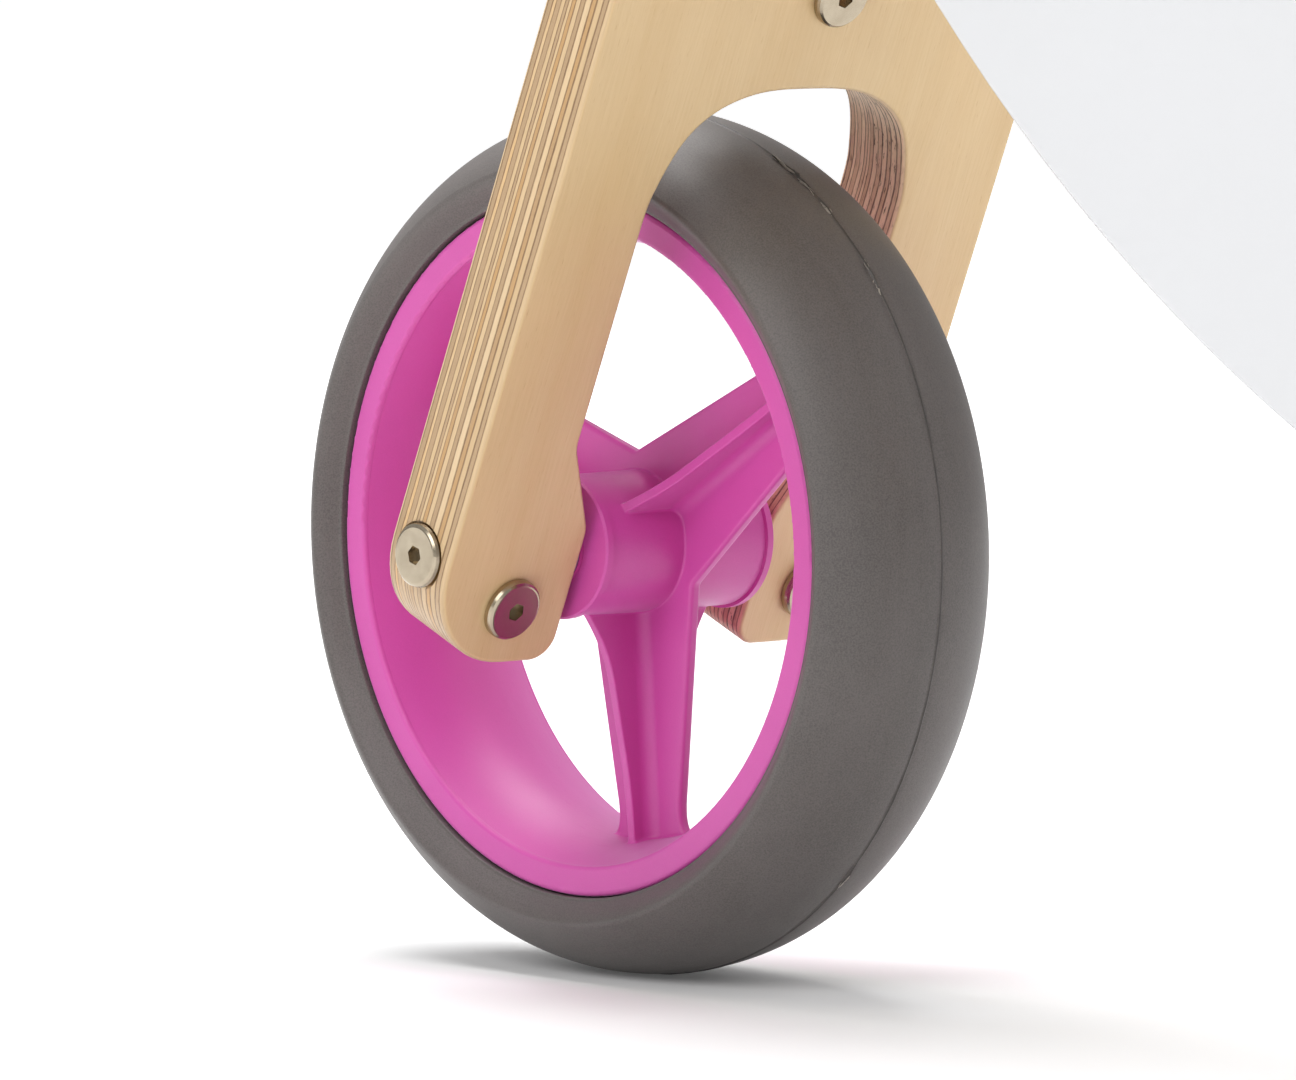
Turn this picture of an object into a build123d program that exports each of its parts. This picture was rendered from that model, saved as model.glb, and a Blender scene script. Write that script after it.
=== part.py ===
from build123d import *
import os
from math import cos, sin, tan, radians, degrees, sqrt, atan2, hypot

os.makedirs("parts", exist_ok=True)

# Balance bike for a toddler.  Millimetres, +X forward, +Y to the rider's left, +Z up.
# The origin is on the ground, midway between the two wheels.

# ---------------------------------------------------------------- driving dimensions
WHEEL_R = 101.5          # eight-inch wheel, tyre outer radius
WHEELBASE = 440.0
PLY_FORK = 21.0          # fifteen-ply birch board
PLY_PANEL = 12.0
RAKE = 23.4              # steering axis and fork plate lean back from vertical
PIVOT_BACK = 30.0        # steering axis behind the middle of the fork plate
FORK_HALF = 69.0         # half width of the fork plate
LEG_IN = 39.5            # inner face of a fork leg
PAD_IN = 28.8            # inner face of the axle pad at a leg's foot
ARCH_TOP = 120.5
PANEL_IN = 36.0          # inner face of a side panel from the centre plane
PANEL_OUT = PANEL_IN + PLY_PANEL
TYRE_HALF = 31.2
HUB_HALF = 26.4
HUB_R = 16.5
RIM_IN = 74.8
RIM_SEAT = 76.8
FLANGE_R = 82.0
WEB_HALF = 1.6
AXLE_R = 5.0
BUSH_R = 8.0
BUSH_BORE = 5.05
BOLT_R = 3.0             # M6 connector bolt
HEAD_R = 7.5
HEAD_T = 2.6
SOCKET_AF = 4.0
NUT_BARREL_R = 4.0
BAR_R = 12.5
BAR_HALF = 165.0
BAR_S = 310.0            # height of the handlebar along the fork plate
GRIP_R = 16.0
GRIP_IN = 62.0
PIN_R = 5.0
SEAT_U = 150.0           # top edge of the panels above the axles

CT, ST = cos(radians(RAKE)), sin(radians(RAKE))
FRONT = Vector(WHEELBASE / 2, 0, WHEEL_R)
REAR = Vector(-WHEELBASE / 2, 0, WHEEL_R)


def fork_point(a, s, f):
    """a to the left, s up along the plate, f forward of the plate's middle."""
    return Vector(FRONT.X + f * CT - s * ST, a, FRONT.Z + f * ST + s * CT)


def fork_plane(f):
    """Plane of the fork plate: local x to the left, local y up along the plate."""
    return Plane(origin=fork_point(0, 0, f), x_dir=(0, 1, 0), z_dir=(CT, 0, ST))


def level_plane(s):
    """Plane square to the steering axis: local x to the left, local y rearward."""
    return Plane(origin=fork_point(0, s, 0), x_dir=(0, 1, 0), z_dir=(-ST, 0, CT))


def side_plane(y):
    """Plane of a side panel at y: local x rearward of, local y above the front axle."""
    return Plane(origin=(FRONT.X, y, FRONT.Z), x_dir=(-1, 0, 0), z_dir=(0, 1, 0))


def axle_section(centre):
    """Section plane of a wheel: local x along the axle, local y outward."""
    return Plane(origin=centre, x_dir=(0, 1, 0), z_dir=(1, 0, 0))


def wheel_plane(centre, y=0.0):
    """Plane of a wheel: local x rearward, local y up."""
    return Plane(origin=centre + Vector(0, y, 0), x_dir=(-1, 0, 0), z_dir=(0, 1, 0))


# ---------------------------------------------------------------- wheels
def superellipse(half_w, height, r0, n, steps, r_low):
    pts = []
    t_low = ((r_low - r0) / height)
    for i in range(steps + 1):
        k = -1 + 2 * i / steps
        # evenly graded from one shoulder to the other
        u = sin(k * 3.14159265 / 2)
        a_low = half_w * (1 - t_low ** n) ** (1 / n)
        a = a_low * u
        r = r0 + height * (1 - (abs(a) / half_w) ** n) ** (1 / n)
        pts.append((a, r))
    return pts


# the tyre's wall runs in to the rim below its widest part: half width, distance from the axle
SHOULDER = [(22.7, 82.9), (24.1, 84.4), (25.6, 86.1), (26.6, 87.8)]


def make_tyre(centre):
    with BuildPart() as tyre:
        with BuildSketch(axle_section(centre)) as section:
            with BuildLine() as outline:
                crown = superellipse(TYRE_HALF, 29.1, WHEEL_R - 29.1, 2.13, 14, 89.0)
                Spline(*[(-x, y) for x, y in SHOULDER], *crown, *reversed(SHOULDER))
                ThreePointArc(SHOULDER[0], (22.62, 82.48), (22.2, 82.3))
                Polyline((22.2, 82.3), (18.4, 82.3), (18.4, RIM_SEAT + 0.1),
                         (-18.4, RIM_SEAT + 0.1), (-18.4, 82.3), (-22.2, 82.3))
                ThreePointArc((-22.2, 82.3), (-22.62, 82.48), (-SHOULDER[0][0], SHOULDER[0][1]))
            make_face()
        revolve(axis=Axis(centre, (0, 1, 0)))
    return tyre


SPOKES = (-86.6, 33.4, 153.4)     # from rearward, turning up
# half outline of a spoke's outer end: distance from the axle, half width; it runs straight in to the valleys
SPOKE_EDGE = [(60.0, 11.05), (64.6, 10.75), (67.6, 11.6), (69.8, 13.9), (71.4, 17.2)]
VALLEY_R = 21.0
# crest of a spoke's rib: distance from the axle, height above the wheel plane
CREST = [(13.6, 20.6), (18.2, 17.4), (22.5, 14.9), (29.0, 12.35), (37.0, 10.9), (46.0, 9.5), (55.0, 8.2), (62.0, 7.6),
         (73.0, 7.3)]
RIB_T = 2.3


def turned(x, y, angle):
    c, s = cos(radians(angle)), sin(radians(angle))
    return (x * c - y * s, x * s + y * c)


def rim_edge(edge, centre):
    """Names an edge of the rim by its distance from the axle and from the wheel plane."""
    ends = [edge @ k - centre for k in (0, 0.5, 1)]
    r = [hypot(p.X, p.Z) for p in ends]
    y = [abs(p.Y) for p in ends]
    on_web = max(y) - min(y) < 0.01 and abs(y[0] - WEB_HALF) < 0.01
    if max(r) > 73:
        return None
    if on_web and edge.geom_type == GeomType.LINE and edge.length > 30:
        # the ribs' roots point at the axle, the spokes' rims pass it by
        off = abs(ends[0].X * ends[2].Z - ends[0].Z * ends[2].X) / edge.length
        return "root" if off < 2.0 else "outline"
    if on_web and edge.geom_type == GeomType.CIRCLE and max(r) < 30 and abs(r[0] - HUB_R) > 1.0:
        return "outline"
    if on_web and edge.geom_type == GeomType.BSPLINE and 55 < min(r) < 66 and max(r) < 71:
        return "outline"
    if 40 < edge.length < 62 and min(y) > 5 and max(y) - min(y) > 5:
        return "crest"
    if min(r) > 69.0 and max(r) < 72.0 and max(y) < 7.6 and edge.length > 0.3:
        return "foot"
    if min(r) > 16.0 and max(r) < 17.4 and max(y) < 18.2 and edge.length > 0.3:
        return "hub"
    return None


def make_rim(centre, spokes):
    with BuildPart() as rim:
        # barrel with two rounded flanges
        with BuildSketch(axle_section(centre)):
            with BuildLine():
                Spline((-20.6, RIM_IN), (-12.5, 71.8), (0, 69.8), (12.5, 71.8), (20.6, RIM_IN))
                ThreePointArc((20.6, RIM_IN), (21.45, RIM_IN + 0.35), (21.8, RIM_IN + 1.2))
                Line((21.8, RIM_IN + 1.2), (21.8, FLANGE_R - 1.3))
                ThreePointArc((21.8, FLANGE_R - 1.3), (21.42, FLANGE_R - 0.38), (20.5, FLANGE_R))
                Polyline((20.5, FLANGE_R), (18.7, FLANGE_R), (18.7, RIM_SEAT), (-18.7, RIM_SEAT),
                         (-18.7, FLANGE_R), (-20.5, FLANGE_R))
                ThreePointArc((-20.5, FLANGE_R), (-21.42, FLANGE_R - 0.38), (-21.8, FLANGE_R - 1.3))
                Line((-21.8, FLANGE_R - 1.3), (-21.8, RIM_IN + 1.2))
                ThreePointArc((-21.8, RIM_IN + 1.2), (-21.45, RIM_IN + 0.35), (-20.6, RIM_IN))
            make_face()
        revolve(axis=Axis(centre, (0, 1, 0)))
        # hub barrel
        with BuildSketch(axle_section(centre)):
            with BuildLine():
                Polyline((-HUB_HALF, 0), (-HUB_HALF, HUB_R + 0.1), (-HUB_HALF + 0.5, HUB_R + 0.6), (-HUB_HALF + 2.2, HUB_R + 0.6),
                         (-HUB_HALF + 2.5, HUB_R - 0.1), (0, HUB_R + 0.2), (HUB_HALF - 2.5, HUB_R - 0.1), (HUB_HALF - 2.2, HUB_R + 0.6),
                         (HUB_HALF - 0.5, HUB_R + 0.6), (HUB_HALF, HUB_R + 0.1), (HUB_HALF, 0), close=True)
            make_face()
        revolve(axis=Axis(centre, (0, 1, 0)))
        # three thin flat spokes in the wheel plane, joined by valleys round the hub
        with BuildSketch(wheel_plane(centre)) as web:
            with BuildLine():
                for angle in spokes:
                    rising = [turned(x, y, angle) for x, y in SPOKE_EDGE]
                    falling = [turned(x, -y, angle + 120) for x, y in SPOKE_EDGE]
                    valley = turned(VALLEY_R, 0, angle + 60)
                    FilletPolyline(rising[0], valley, falling[0], radius=2.0)
                    Spline(*rising, tangents=((rising[0][0] - valley[0], rising[0][1] - valley[1]), turned(0.35, 1.0, angle)))
                    Spline(*falling, tangents=((falling[0][0] - valley[0], falling[0][1] - valley[1]), turned(0.35, -1.0, angle + 120)))
                    Polyline(falling[-1], turned(74.6, 0, angle + 120), turned(SPOKE_EDGE[-1][0], SPOKE_EDGE[-1][1], angle + 120))
            make_face()
        extrude(amount=WEB_HALF, both=True)
        # a thin rib stands along each spoke on both sides, rising in a hollow curve to the hub
        for angle in spokes:
            c, s = cos(radians(angle)), sin(radians(angle))
            with BuildSketch(Plane(origin=centre - RIB_T / 2 * Vector(s, 0, c), x_dir=(-c, 0, s), z_dir=(s, 0, c))):
                with BuildLine():
                    Spline(*CREST)
                    Line(CREST[-1], (CREST[-1][0], -CREST[-1][1]))
                    Spline(*[(x, -y) for x, y in reversed(CREST)])
                    Line((CREST[0][0], -CREST[0][1]), CREST[0])
                make_face()
            extrude(amount=RIB_T)
        # moulded edges: rounded spoke rims, the ribs' crests and wide hollows at their roots, then small corners at
        # the barrel and round the hub
        for name, radius in (("outline", 1.1), ("crest", 0.4), ("root", 3.4), ("foot", 1.0), ("hub", 0.6)):
            fillet([e for e in rim.edges() if rim_edge(e, centre) == name], radius)
        # bore and the two bush seats
        with BuildSketch(wheel_plane(centre, -40)):
            Circle(AXLE_R + 1.5)
        extrude(amount=80, mode=Mode.SUBTRACT)
        for y0 in (-HUB_HALF - 1, HUB_HALF - 12):
            with BuildSketch(wheel_plane(centre, y0)):
                Circle(BUSH_R)
            extrude(amount=13, mode=Mode.SUBTRACT)
    return rim


def make_hub_bushes(centre):
    with BuildPart() as bushes:
        for side in (1, -1):
            with BuildSketch(axle_section(centre)):
                with BuildLine():
                    Polyline((side * (HUB_HALF - 12), BUSH_BORE), (side * (HUB_HALF - 12), BUSH_R),
                             (side * HUB_HALF, BUSH_R), (side * HUB_HALF, 9.0),
                             (side * (HUB_HALF + 1.0), 9.0), (side * (HUB_HALF + 1.0), BUSH_BORE), close=True)
                make_face()
        revolve(axis=Axis(centre, (0, 1, 0)))
    return bushes


# ---------------------------------------------------------------- fasteners
def bolt_profile(shank):
    """Half section of a flat-head connector bolt; the head seats at z=0 and stands on +z."""
    return [(0, HEAD_T), (6.4, HEAD_T), (6.75, HEAD_T - 0.07), (7.25, HEAD_T - 0.5), (HEAD_R, HEAD_T - 1.2), (HEAD_R, 0.25),
            (HEAD_R - 0.25, 0), (BOLT_R, 0), (BOLT_R, -shank + 0.8), (BOLT_R - 0.8, -shank), (0, -shank)]


def make_bolts(places):
    """places: (seat point, outward direction, shank length)."""
    with BuildPart() as bolts:
        for seat, out, shank in places:
            z = Vector(*out).normalized()
            x = Vector(0, 0, 1).cross(z) if abs(z.Z) < 0.9 else Vector(0, 1, 0)
            x = x.normalized()
            section = Plane(origin=seat, x_dir=x, z_dir=x.cross(z))
            with BuildSketch(section):
                with BuildLine():
                    Polyline(*bolt_profile(shank), close=True)
                make_face()
            revolve(axis=Axis(seat, z))
            with BuildSketch(Plane(origin=Vector(seat) + z * (HEAD_T + 0.2), x_dir=x, z_dir=-z)):
                RegularPolygon(SOCKET_AF / 2, 6, major_radius=False, rotation=17)
            extrude(amount=2.4, mode=Mode.SUBTRACT)
    return bolts


def make_sleeve_nuts(places):
    """places: (seat point, outward direction, barrel length): a flat-head nut with a threaded sleeve."""
    with BuildPart() as nuts:
        for seat, out, barrel in places:
            z = Vector(*out).normalized()
            x = Vector(0, 1, 0) if abs(z.Y) < 0.9 else Vector(1, 0, 0)
            section = Plane(origin=seat, x_dir=x, z_dir=x.cross(z))
            with BuildSketch(section):
                with BuildLine():
                    Polyline((0, HEAD_T), (6.4, HEAD_T), (6.75, HEAD_T - 0.07), (7.25, HEAD_T - 0.5), (HEAD_R, HEAD_T - 1.2),
                             (HEAD_R, 0.25), (HEAD_R - 0.25, 0), (NUT_BARREL_R, 0), (NUT_BARREL_R, -barrel),
                             (BOLT_R, -barrel), (BOLT_R, -0.4), (0, -0.4), close=True)
                make_face()
            revolve(axis=Axis(seat, z))
            with BuildSketch(Plane(origin=Vector(seat) + z * (HEAD_T + 0.2), x_dir=x, z_dir=-z)):
                RegularPolygon(SOCKET_AF / 2, 6, major_radius=False, rotation=5)
            extrude(amount=1.9, mode=Mode.SUBTRACT)
    return nuts


def make_rings(places, r_out, r_in, edge=0.15):
    """places: (start point, axis direction, length)."""
    with BuildPart() as rings:
        for start, out, length in places:
            z = Vector(*out).normalized()
            x = Vector(1, 0, 0) if abs(z.Y) > 0.9 else Vector(0, 1, 0)
            with BuildSketch(Plane(origin=start, x_dir=x, z_dir=z)):
                Circle(r_out)
                Circle(r_in, mode=Mode.SUBTRACT)
            extrude(amount=length)
        if edge:
            chamfer(rings.edges().filter_by(GeomType.CIRCLE), edge)
    return rings


LEFT, RIGHT = (0, 1, 0), (0, -1, 0)
FWD, BACK = (CT, 0, ST), (-CT, 0, -ST)
UPAX, DOWNAX = (-ST, 0, CT), (ST, 0, -CT)

# ================================================================ front wheel
front_tyre = make_tyre(FRONT)
front_tyre.part.label = "front_tyre"
front_rim = make_rim(FRONT, SPOKES)
front_rim.part.label = "front_rim"
front_hub_bushes = make_hub_bushes(FRONT)
front_hub_bushes.part.label = "front_hub_bushes"

# ================================================================ rear wheel
rear_tyre = make_tyre(REAR)
rear_tyre.part.label = "rear_tyre"
# the rear rim is the same moulding, a wheelbase further back and standing at another angle
with BuildPart() as rear_rim:
    add(front_rim.part.rotate(Axis(FRONT, (0, 1, 0)), 41.0).moved(Location(REAR - FRONT)))
rear_rim.part.label = "rear_rim"
rear_hub_bushes = make_hub_bushes(REAR)
rear_hub_bushes.part.label = "rear_hub_bushes"

# ================================================================ fork
STEM_S0 = 127.0
TOP_S = 345.0
NECK_HALF = 38.0
STEM_BOLTS = (144.5, 334.0)              # along the plate, on the centre line
BRACKET_BOLTS = ((-12, 174.0), (12, 174.0), (-12, 275.0), (12, 275.0))
FACE_BOLT = (46.5, -9.5)
COUNTERBORE = 1.2

with BuildPart() as fork_plate:
    with BuildSketch(fork_plane(-PLY_FORK / 2)) as outline:
        with BuildLine():
            FilletPolyline(
                (FORK_HALF, 100), (FORK_HALF, 172), (NECK_HALF, 226), (NECK_HALF, TOP_S), (0, TOP_S),
                radius=26)
            Line((0, TOP_S), (0, ARCH_TOP))
            # arch over the tyre, then down the leg's inner edge to the axle pad
            Spline((0, ARCH_TOP), (14.8, 119.6), (26.0, 115.6), (34.2, 107.6), (38.2, 97.0), (LEG_IN, 84.0),
                   tangents=((1, 0), (0, -1)))
            FilletPolyline((LEG_IN, 84.0), (LEG_IN, 31.0), (PAD_IN, 9.5), (PAD_IN, -5.0), radius=8.0)
            FilletPolyline((PAD_IN, -5.0), (PAD_IN, -24.3), (38.0, -24.3), radius=6.5)
            FilletPolyline((38.0, -24.3), (FORK_HALF, -24.3), (FORK_HALF, 30.0), radius=25.0)
            Line((FORK_HALF, 30.0), (FORK_HALF, 100))
        make_face()
        mirror(about=Plane.YZ)
    extrude(amount=PLY_FORK)
    # softly rounded rims of both faces
    rim_edges = (fork_plate.faces().sort_by(Axis(fork_point(0, 0, 0), FWD))[0].edges()
                 + fork_plate.faces().sort_by(Axis(fork_point(0, 0, 0), FWD))[-1].edges())
    fillet(rim_edges, 1.2)
    # half-round groove for the handlebar in the front face
    with BuildSketch(Plane(origin=fork_point(-100, BAR_S, PLY_FORK / 2), x_dir=FWD, z_dir=(0, 1, 0))):
        Circle(BAR_R)
    extrude(amount=200, mode=Mode.SUBTRACT)
    # axle holes with shallow seats in the outer edges
    for side in (1, -1):
        with BuildSketch(Plane(origin=(FRONT.X, side * (FORK_HALF + 1), FRONT.Z), x_dir=FWD, z_dir=(0, -side, 0))):
            Circle(BOLT_R + 0.2)
        extrude(amount=60, mode=Mode.SUBTRACT)
        with BuildSketch(Plane(origin=(FRONT.X, side * (FORK_HALF + 5), FRONT.Z), x_dir=FWD, z_dir=(0, -side, 0))):
            Circle(HEAD_R + 0.45)
        extrude(amount=5 + COUNTERBORE, mode=Mode.SUBTRACT)
    # bolt holes through the thickness
    with BuildSketch(fork_plane(-PLY_FORK / 2 - 1)):
        with Locations((FACE_BOLT[0], FACE_BOLT[1]), (-FACE_BOLT[0], FACE_BOLT[1])):
            Circle(NUT_BARREL_R + 0.1)
        for s in STEM_BOLTS:
            with Locations((0, s)):
                Circle(BOLT_R + 0.15)
        with Locations(*BRACKET_BOLTS):
            Circle(BOLT_R + 0.15)
    extrude(amount=PLY_FORK + 2, mode=Mode.SUBTRACT)
fork_plate.part.label = "fork_plate"

with BuildPart() as stem_board:
    with BuildSketch(fork_plane(PLY_FORK / 2 + 0.02)):
        with BuildLine():
            FilletPolyline((0, STEM_S0), (24, STEM_S0), (30, STEM_S0 + 30), (30, TOP_S), (0, TOP_S), radius=11)
            Line((0, TOP_S), (0, STEM_S0))
        make_face()
        mirror(about=Plane.YZ)
    extrude(amount=PLY_FORK)
    fillet(stem_board.faces().sort_by(Axis(fork_point(0, 0, 0), FWD))[-1].edges(), 2.5)
    with BuildSketch(Plane(origin=fork_point(-100, BAR_S, PLY_FORK / 2), x_dir=FWD, z_dir=(0, 1, 0))):
        Circle(BAR_R)
    extrude(amount=200, mode=Mode.SUBTRACT)
    with BuildSketch(fork_plane(PLY_FORK / 2 - 1)):
        for s in STEM_BOLTS:
            with Locations((0, s)):
                Circle(NUT_BARREL_R + 0.1)
        with Locations(*BRACKET_BOLTS):
            Circle(NUT_BARREL_R + 0.1)
    extrude(amount=PLY_FORK + 4, mode=Mode.SUBTRACT)
stem_board.part.label = "stem_board"

with BuildPart() as handlebar:
    with BuildSketch(Plane(origin=fork_point(-BAR_HALF, BAR_S, PLY_FORK / 2), x_dir=FWD, z_dir=(0, 1, 0))):
        Circle(BAR_R)
    extrude(amount=2 * BAR_HALF)
    chamfer(handlebar.edges().filter_by(GeomType.CIRCLE), 1.0)
handlebar.part.label = "handlebar"


def make_grip(side):
    centre = fork_point(0, BAR_S, PLY_FORK / 2)
    x0, x1, xe = GRIP_IN, BAR_HALF + 0.1, BAR_HALF + 5.0
    with BuildPart() as grip:
        with BuildSketch(Plane(origin=centre, x_dir=(0, side, 0), z_dir=Vector(*FWD) * -side)) as section:
            with BuildLine():
                Polyline((x0, BAR_R), (x0, 19.0), (x0 + 1.0, 20.0), (x0 + 4.0, 20.0), (x0 + 5.0, 19.0), (x0 + 6.5, GRIP_R - 0.5),
                         (x0 + 9.0, GRIP_R - 1.0), (x0 + 30, GRIP_R - 0.4), (x0 + 55, GRIP_R), (x0 + 85, GRIP_R - 0.6),
                         (x1 - 8, GRIP_R - 0.4), (x1 - 5.5, 18.6), (x1 - 3.5, 19.6))
                ThreePointArc((x1 - 3.5, 19.6), (xe - 2.2, 16.4), (xe, 8.0))
                Polyline((xe, 8.0), (xe, 0), (x1, 0), (x1, BAR_R), (x0, BAR_R))
            make_face()
        revolve(axis=Axis(centre, (0, 1, 0)))
    return grip


grip_left = make_grip(1)
grip_left.part.label = "grip_left"
grip_right = make_grip(-1)
grip_right.part.label = "grip_right"

# axle of the front wheel: a threaded sleeve clamped between the legs by two bolts
front_axle_sleeve = make_rings([(FRONT - Vector(0, PAD_IN - 0.05, 0), LEFT, 2 * PAD_IN - 0.1)], AXLE_R, BOLT_R, 0.3)
front_axle_sleeve.part.label = "front_axle_sleeve"
seat_y = FORK_HALF - COUNTERBORE
front_axle_bolts = make_bolts([(FRONT + Vector(0, seat_y, 0), LEFT, seat_y - PAD_IN + 20),
                               (FRONT - Vector(0, seat_y, 0), RIGHT, seat_y - PAD_IN + 20)])
front_axle_bolts.part.label = "front_axle_bolts"
front_axle_washers = make_rings([(FRONT + Vector(0, HUB_HALF + 1.1, 0), LEFT, 1.2),
                                 (FRONT - Vector(0, HUB_HALF + 1.1, 0), RIGHT, 1.2)], 9.0, AXLE_R + 0.05)
front_axle_washers.part.label = "front_axle_washers"

half = PLY_FORK / 2
fork_face_bolts = make_bolts([(fork_point(k * FACE_BOLT[0], FACE_BOLT[1], -half), BACK, PLY_FORK - 1.5) for k in (1, -1)])
fork_face_bolts.part.label = "fork_face_bolts"
fork_face_nuts = make_sleeve_nuts([(fork_point(k * FACE_BOLT[0], FACE_BOLT[1], half), FWD, 12.0) for k in (1, -1)])
fork_face_nuts.part.label = "fork_face_nuts"

front_of_stem = half + 0.02 + PLY_FORK
stem_bolts = make_bolts([(fork_point(0, s, -half), BACK, 2 * PLY_FORK - 2.0) for s in STEM_BOLTS])
stem_bolts.part.label = "stem_bolts"
stem_nuts = make_sleeve_nuts([(fork_point(0, s, front_of_stem), FWD, 14.0) for s in STEM_BOLTS]
                             + [(fork_point(a, s, front_of_stem), FWD, 14.0) for a, s in BRACKET_BOLTS])
stem_nuts.part.label = "stem_nuts"

# ---------------------------------------------------------------- steering hinge
BLOCK_S0, BLOCK_S1 = 200.0, 250.0
BRACKET_T = 4.0
BUSH_FLANGE = 1.5
HINGE_GAP = 0.2
LOW_TOP = BLOCK_S0 - BUSH_FLANGE - HINGE_GAP          # upper face of the lower bracket's ear
UP_BOTTOM = BLOCK_S1 + BUSH_FLANGE + HINGE_GAP


def make_bracket(ear_s0, plate_s0, plate_s1):
    """Steel angle: a plate bolted to the fork and an ear round the steering pin."""
    with BuildPart() as bracket:
        with BuildSketch(fork_plane(-half)) as flange:
            with Locations((0, (plate_s0 + plate_s1) / 2)):
                RectangleRounded(44, plate_s1 - plate_s0, 3.0)
            for a, s in BRACKET_BOLTS:
                if plate_s0 < s < plate_s1:
                    with Locations((a, s)):
                        Circle(BOLT_R + 0.15, mode=Mode.SUBTRACT)
        extrude(amount=-BRACKET_T)
        with BuildSketch(level_plane(ear_s0)) as ear:
            with Locations((0, (half + PIVOT_BACK) / 2)):
                Rectangle(32, PIVOT_BACK - half)
            with Locations((0, PIVOT_BACK)):
                Circle(16.0)
                Circle(PIN_R + 0.1, mode=Mode.SUBTRACT)
        extrude(amount=BRACKET_T)
    return bracket


hinge_bracket_lower = make_bracket(LOW_TOP - BRACKET_T, 160.0, LOW_TOP)
hinge_bracket_lower.part.label = "hinge_bracket_lower"
hinge_bracket_upper = make_bracket(UP_BOTTOM, UP_BOTTOM, 289.0)
hinge_bracket_upper.part.label = "hinge_bracket_upper"
bracket_bolts = make_bolts([(fork_point(a, s, -half - BRACKET_T), BACK, 2 * PLY_FORK + BRACKET_T - 2.0) for a, s in BRACKET_BOLTS])
bracket_bolts.part.label = "bracket_bolts"

pin_foot = LOW_TOP - BRACKET_T
nut_seat = UP_BOTTOM + BRACKET_T + 1.5
with BuildPart() as steering_pin:
    with BuildSketch(Plane(origin=fork_point(0, pin_foot, -PIVOT_BACK), x_dir=BACK, z_dir=(0, 1, 0))) as section:
        with BuildLine():
            Polyline((0, 0), (0, -6.0), (4.5, -6.0))
            ThreePointArc((4.5, -6.0), (7.8, -4.2), (9.0, -1.2))
            Polyline((9.0, -1.2), (9.0, 0), (PIN_R, 0), (PIN_R, nut_seat - pin_foot + 13.0), (PIN_R - 1.0, nut_seat - pin_foot + 14.0),
                     (0, nut_seat - pin_foot + 14.0), (0, 0))
        make_face()
    revolve(axis=Axis(fork_point(0, pin_foot, -PIVOT_BACK), UPAX))
    with BuildSketch(Plane(origin=fork_point(0, pin_foot - 7.0, -PIVOT_BACK), x_dir=(0, 1, 0), z_dir=UPAX)):
        RegularPolygon(3.0, 6, major_radius=False)
    extrude(amount=4.5, mode=Mode.SUBTRACT)
steering_pin.part.label = "steering_pin"

steering_pin_washer = make_rings([(fork_point(0, UP_BOTTOM + BRACKET_T, -PIVOT_BACK), UPAX, 1.5)], 10.5, PIN_R + 0.1)
steering_pin_washer.part.label = "steering_pin_washer"

with BuildPart() as steering_lock_nut:
    with BuildSketch(Plane(origin=fork_point(0, nut_seat, -PIVOT_BACK), x_dir=(0, 1, 0), z_dir=UPAX)):
        RegularPolygon(8.0, 6, major_radius=False)
        Circle(PIN_R, mode=Mode.SUBTRACT)
    extrude(amount=8.0)
    with BuildSketch(Plane(origin=fork_point(0, nut_seat + 8.0, -PIVOT_BACK), x_dir=(0, 1, 0), z_dir=UPAX)):
        Circle(7.2)
        Circle(PIN_R, mode=Mode.SUBTRACT)
    extrude(amount=2.5)
steering_lock_nut.part.label = "steering_lock_nut"

# ================================================================ frame
# Side panel outline in the panel's plane: x rearward of the front axle, y above it.
BELLY_C = (480.0, 428.0)
BELLY_R = 446.8
LOBE_R = 28.0
NOSE_N = 44.0            # the nose edge stands this far behind the middle of the fork plate


def from_fork(n, s):
    return (s * ST + n * CT, s * CT - n * ST)


def belly_y(x):
    return BELLY_C[1] - sqrt(BELLY_R ** 2 - (x - BELLY_C[0]) ** 2)


nose_low = None
s = 150.0
while nose_low is None:
    p = from_fork(NOSE_N, s)
    if p[1] >= belly_y(p[0]):
        nose_low, nose_s = p, s
    s += 0.05
nose_top = from_fork(NOSE_N, 264.0)

# the belly arc leaves its circle where its tangent just touches the lobe round the rear axle
x = 250.0
while True:
    y = belly_y(x)
    m = -(x - BELLY_C[0]) / (y - BELLY_C[1])
    d = abs(m * (WHEELBASE - x) + y) / hypot(m, 1)
    if d <= LOBE_R:
        break
    x += 0.05
belly_end = (x, belly_y(x))
m = -(x - BELLY_C[0]) / (belly_end[1] - BELLY_C[1])
# foot of the perpendicular from the rear axle on the tangent
k = ((WHEELBASE - x) + m * (0 - belly_end[1])) / (1 + m * m)
lobe_low = (x + k, belly_end[1] + m * k)
lobe_mid = (WHEELBASE + LOBE_R * cos(radians(-40)), LOBE_R * sin(radians(-40)))
lobe_high = (WHEELBASE + LOBE_R * cos(radians(12)), LOBE_R * sin(radians(12)))
NOSE_ROUND = 12.0

PANEL_BOLTS = (from_fork(60.0, 212.0), from_fork(60.0, 240.0), (288.0, 56.0), (296.0, 112.0), (296.0, 136.0), (428.0, 135.0))


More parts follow.
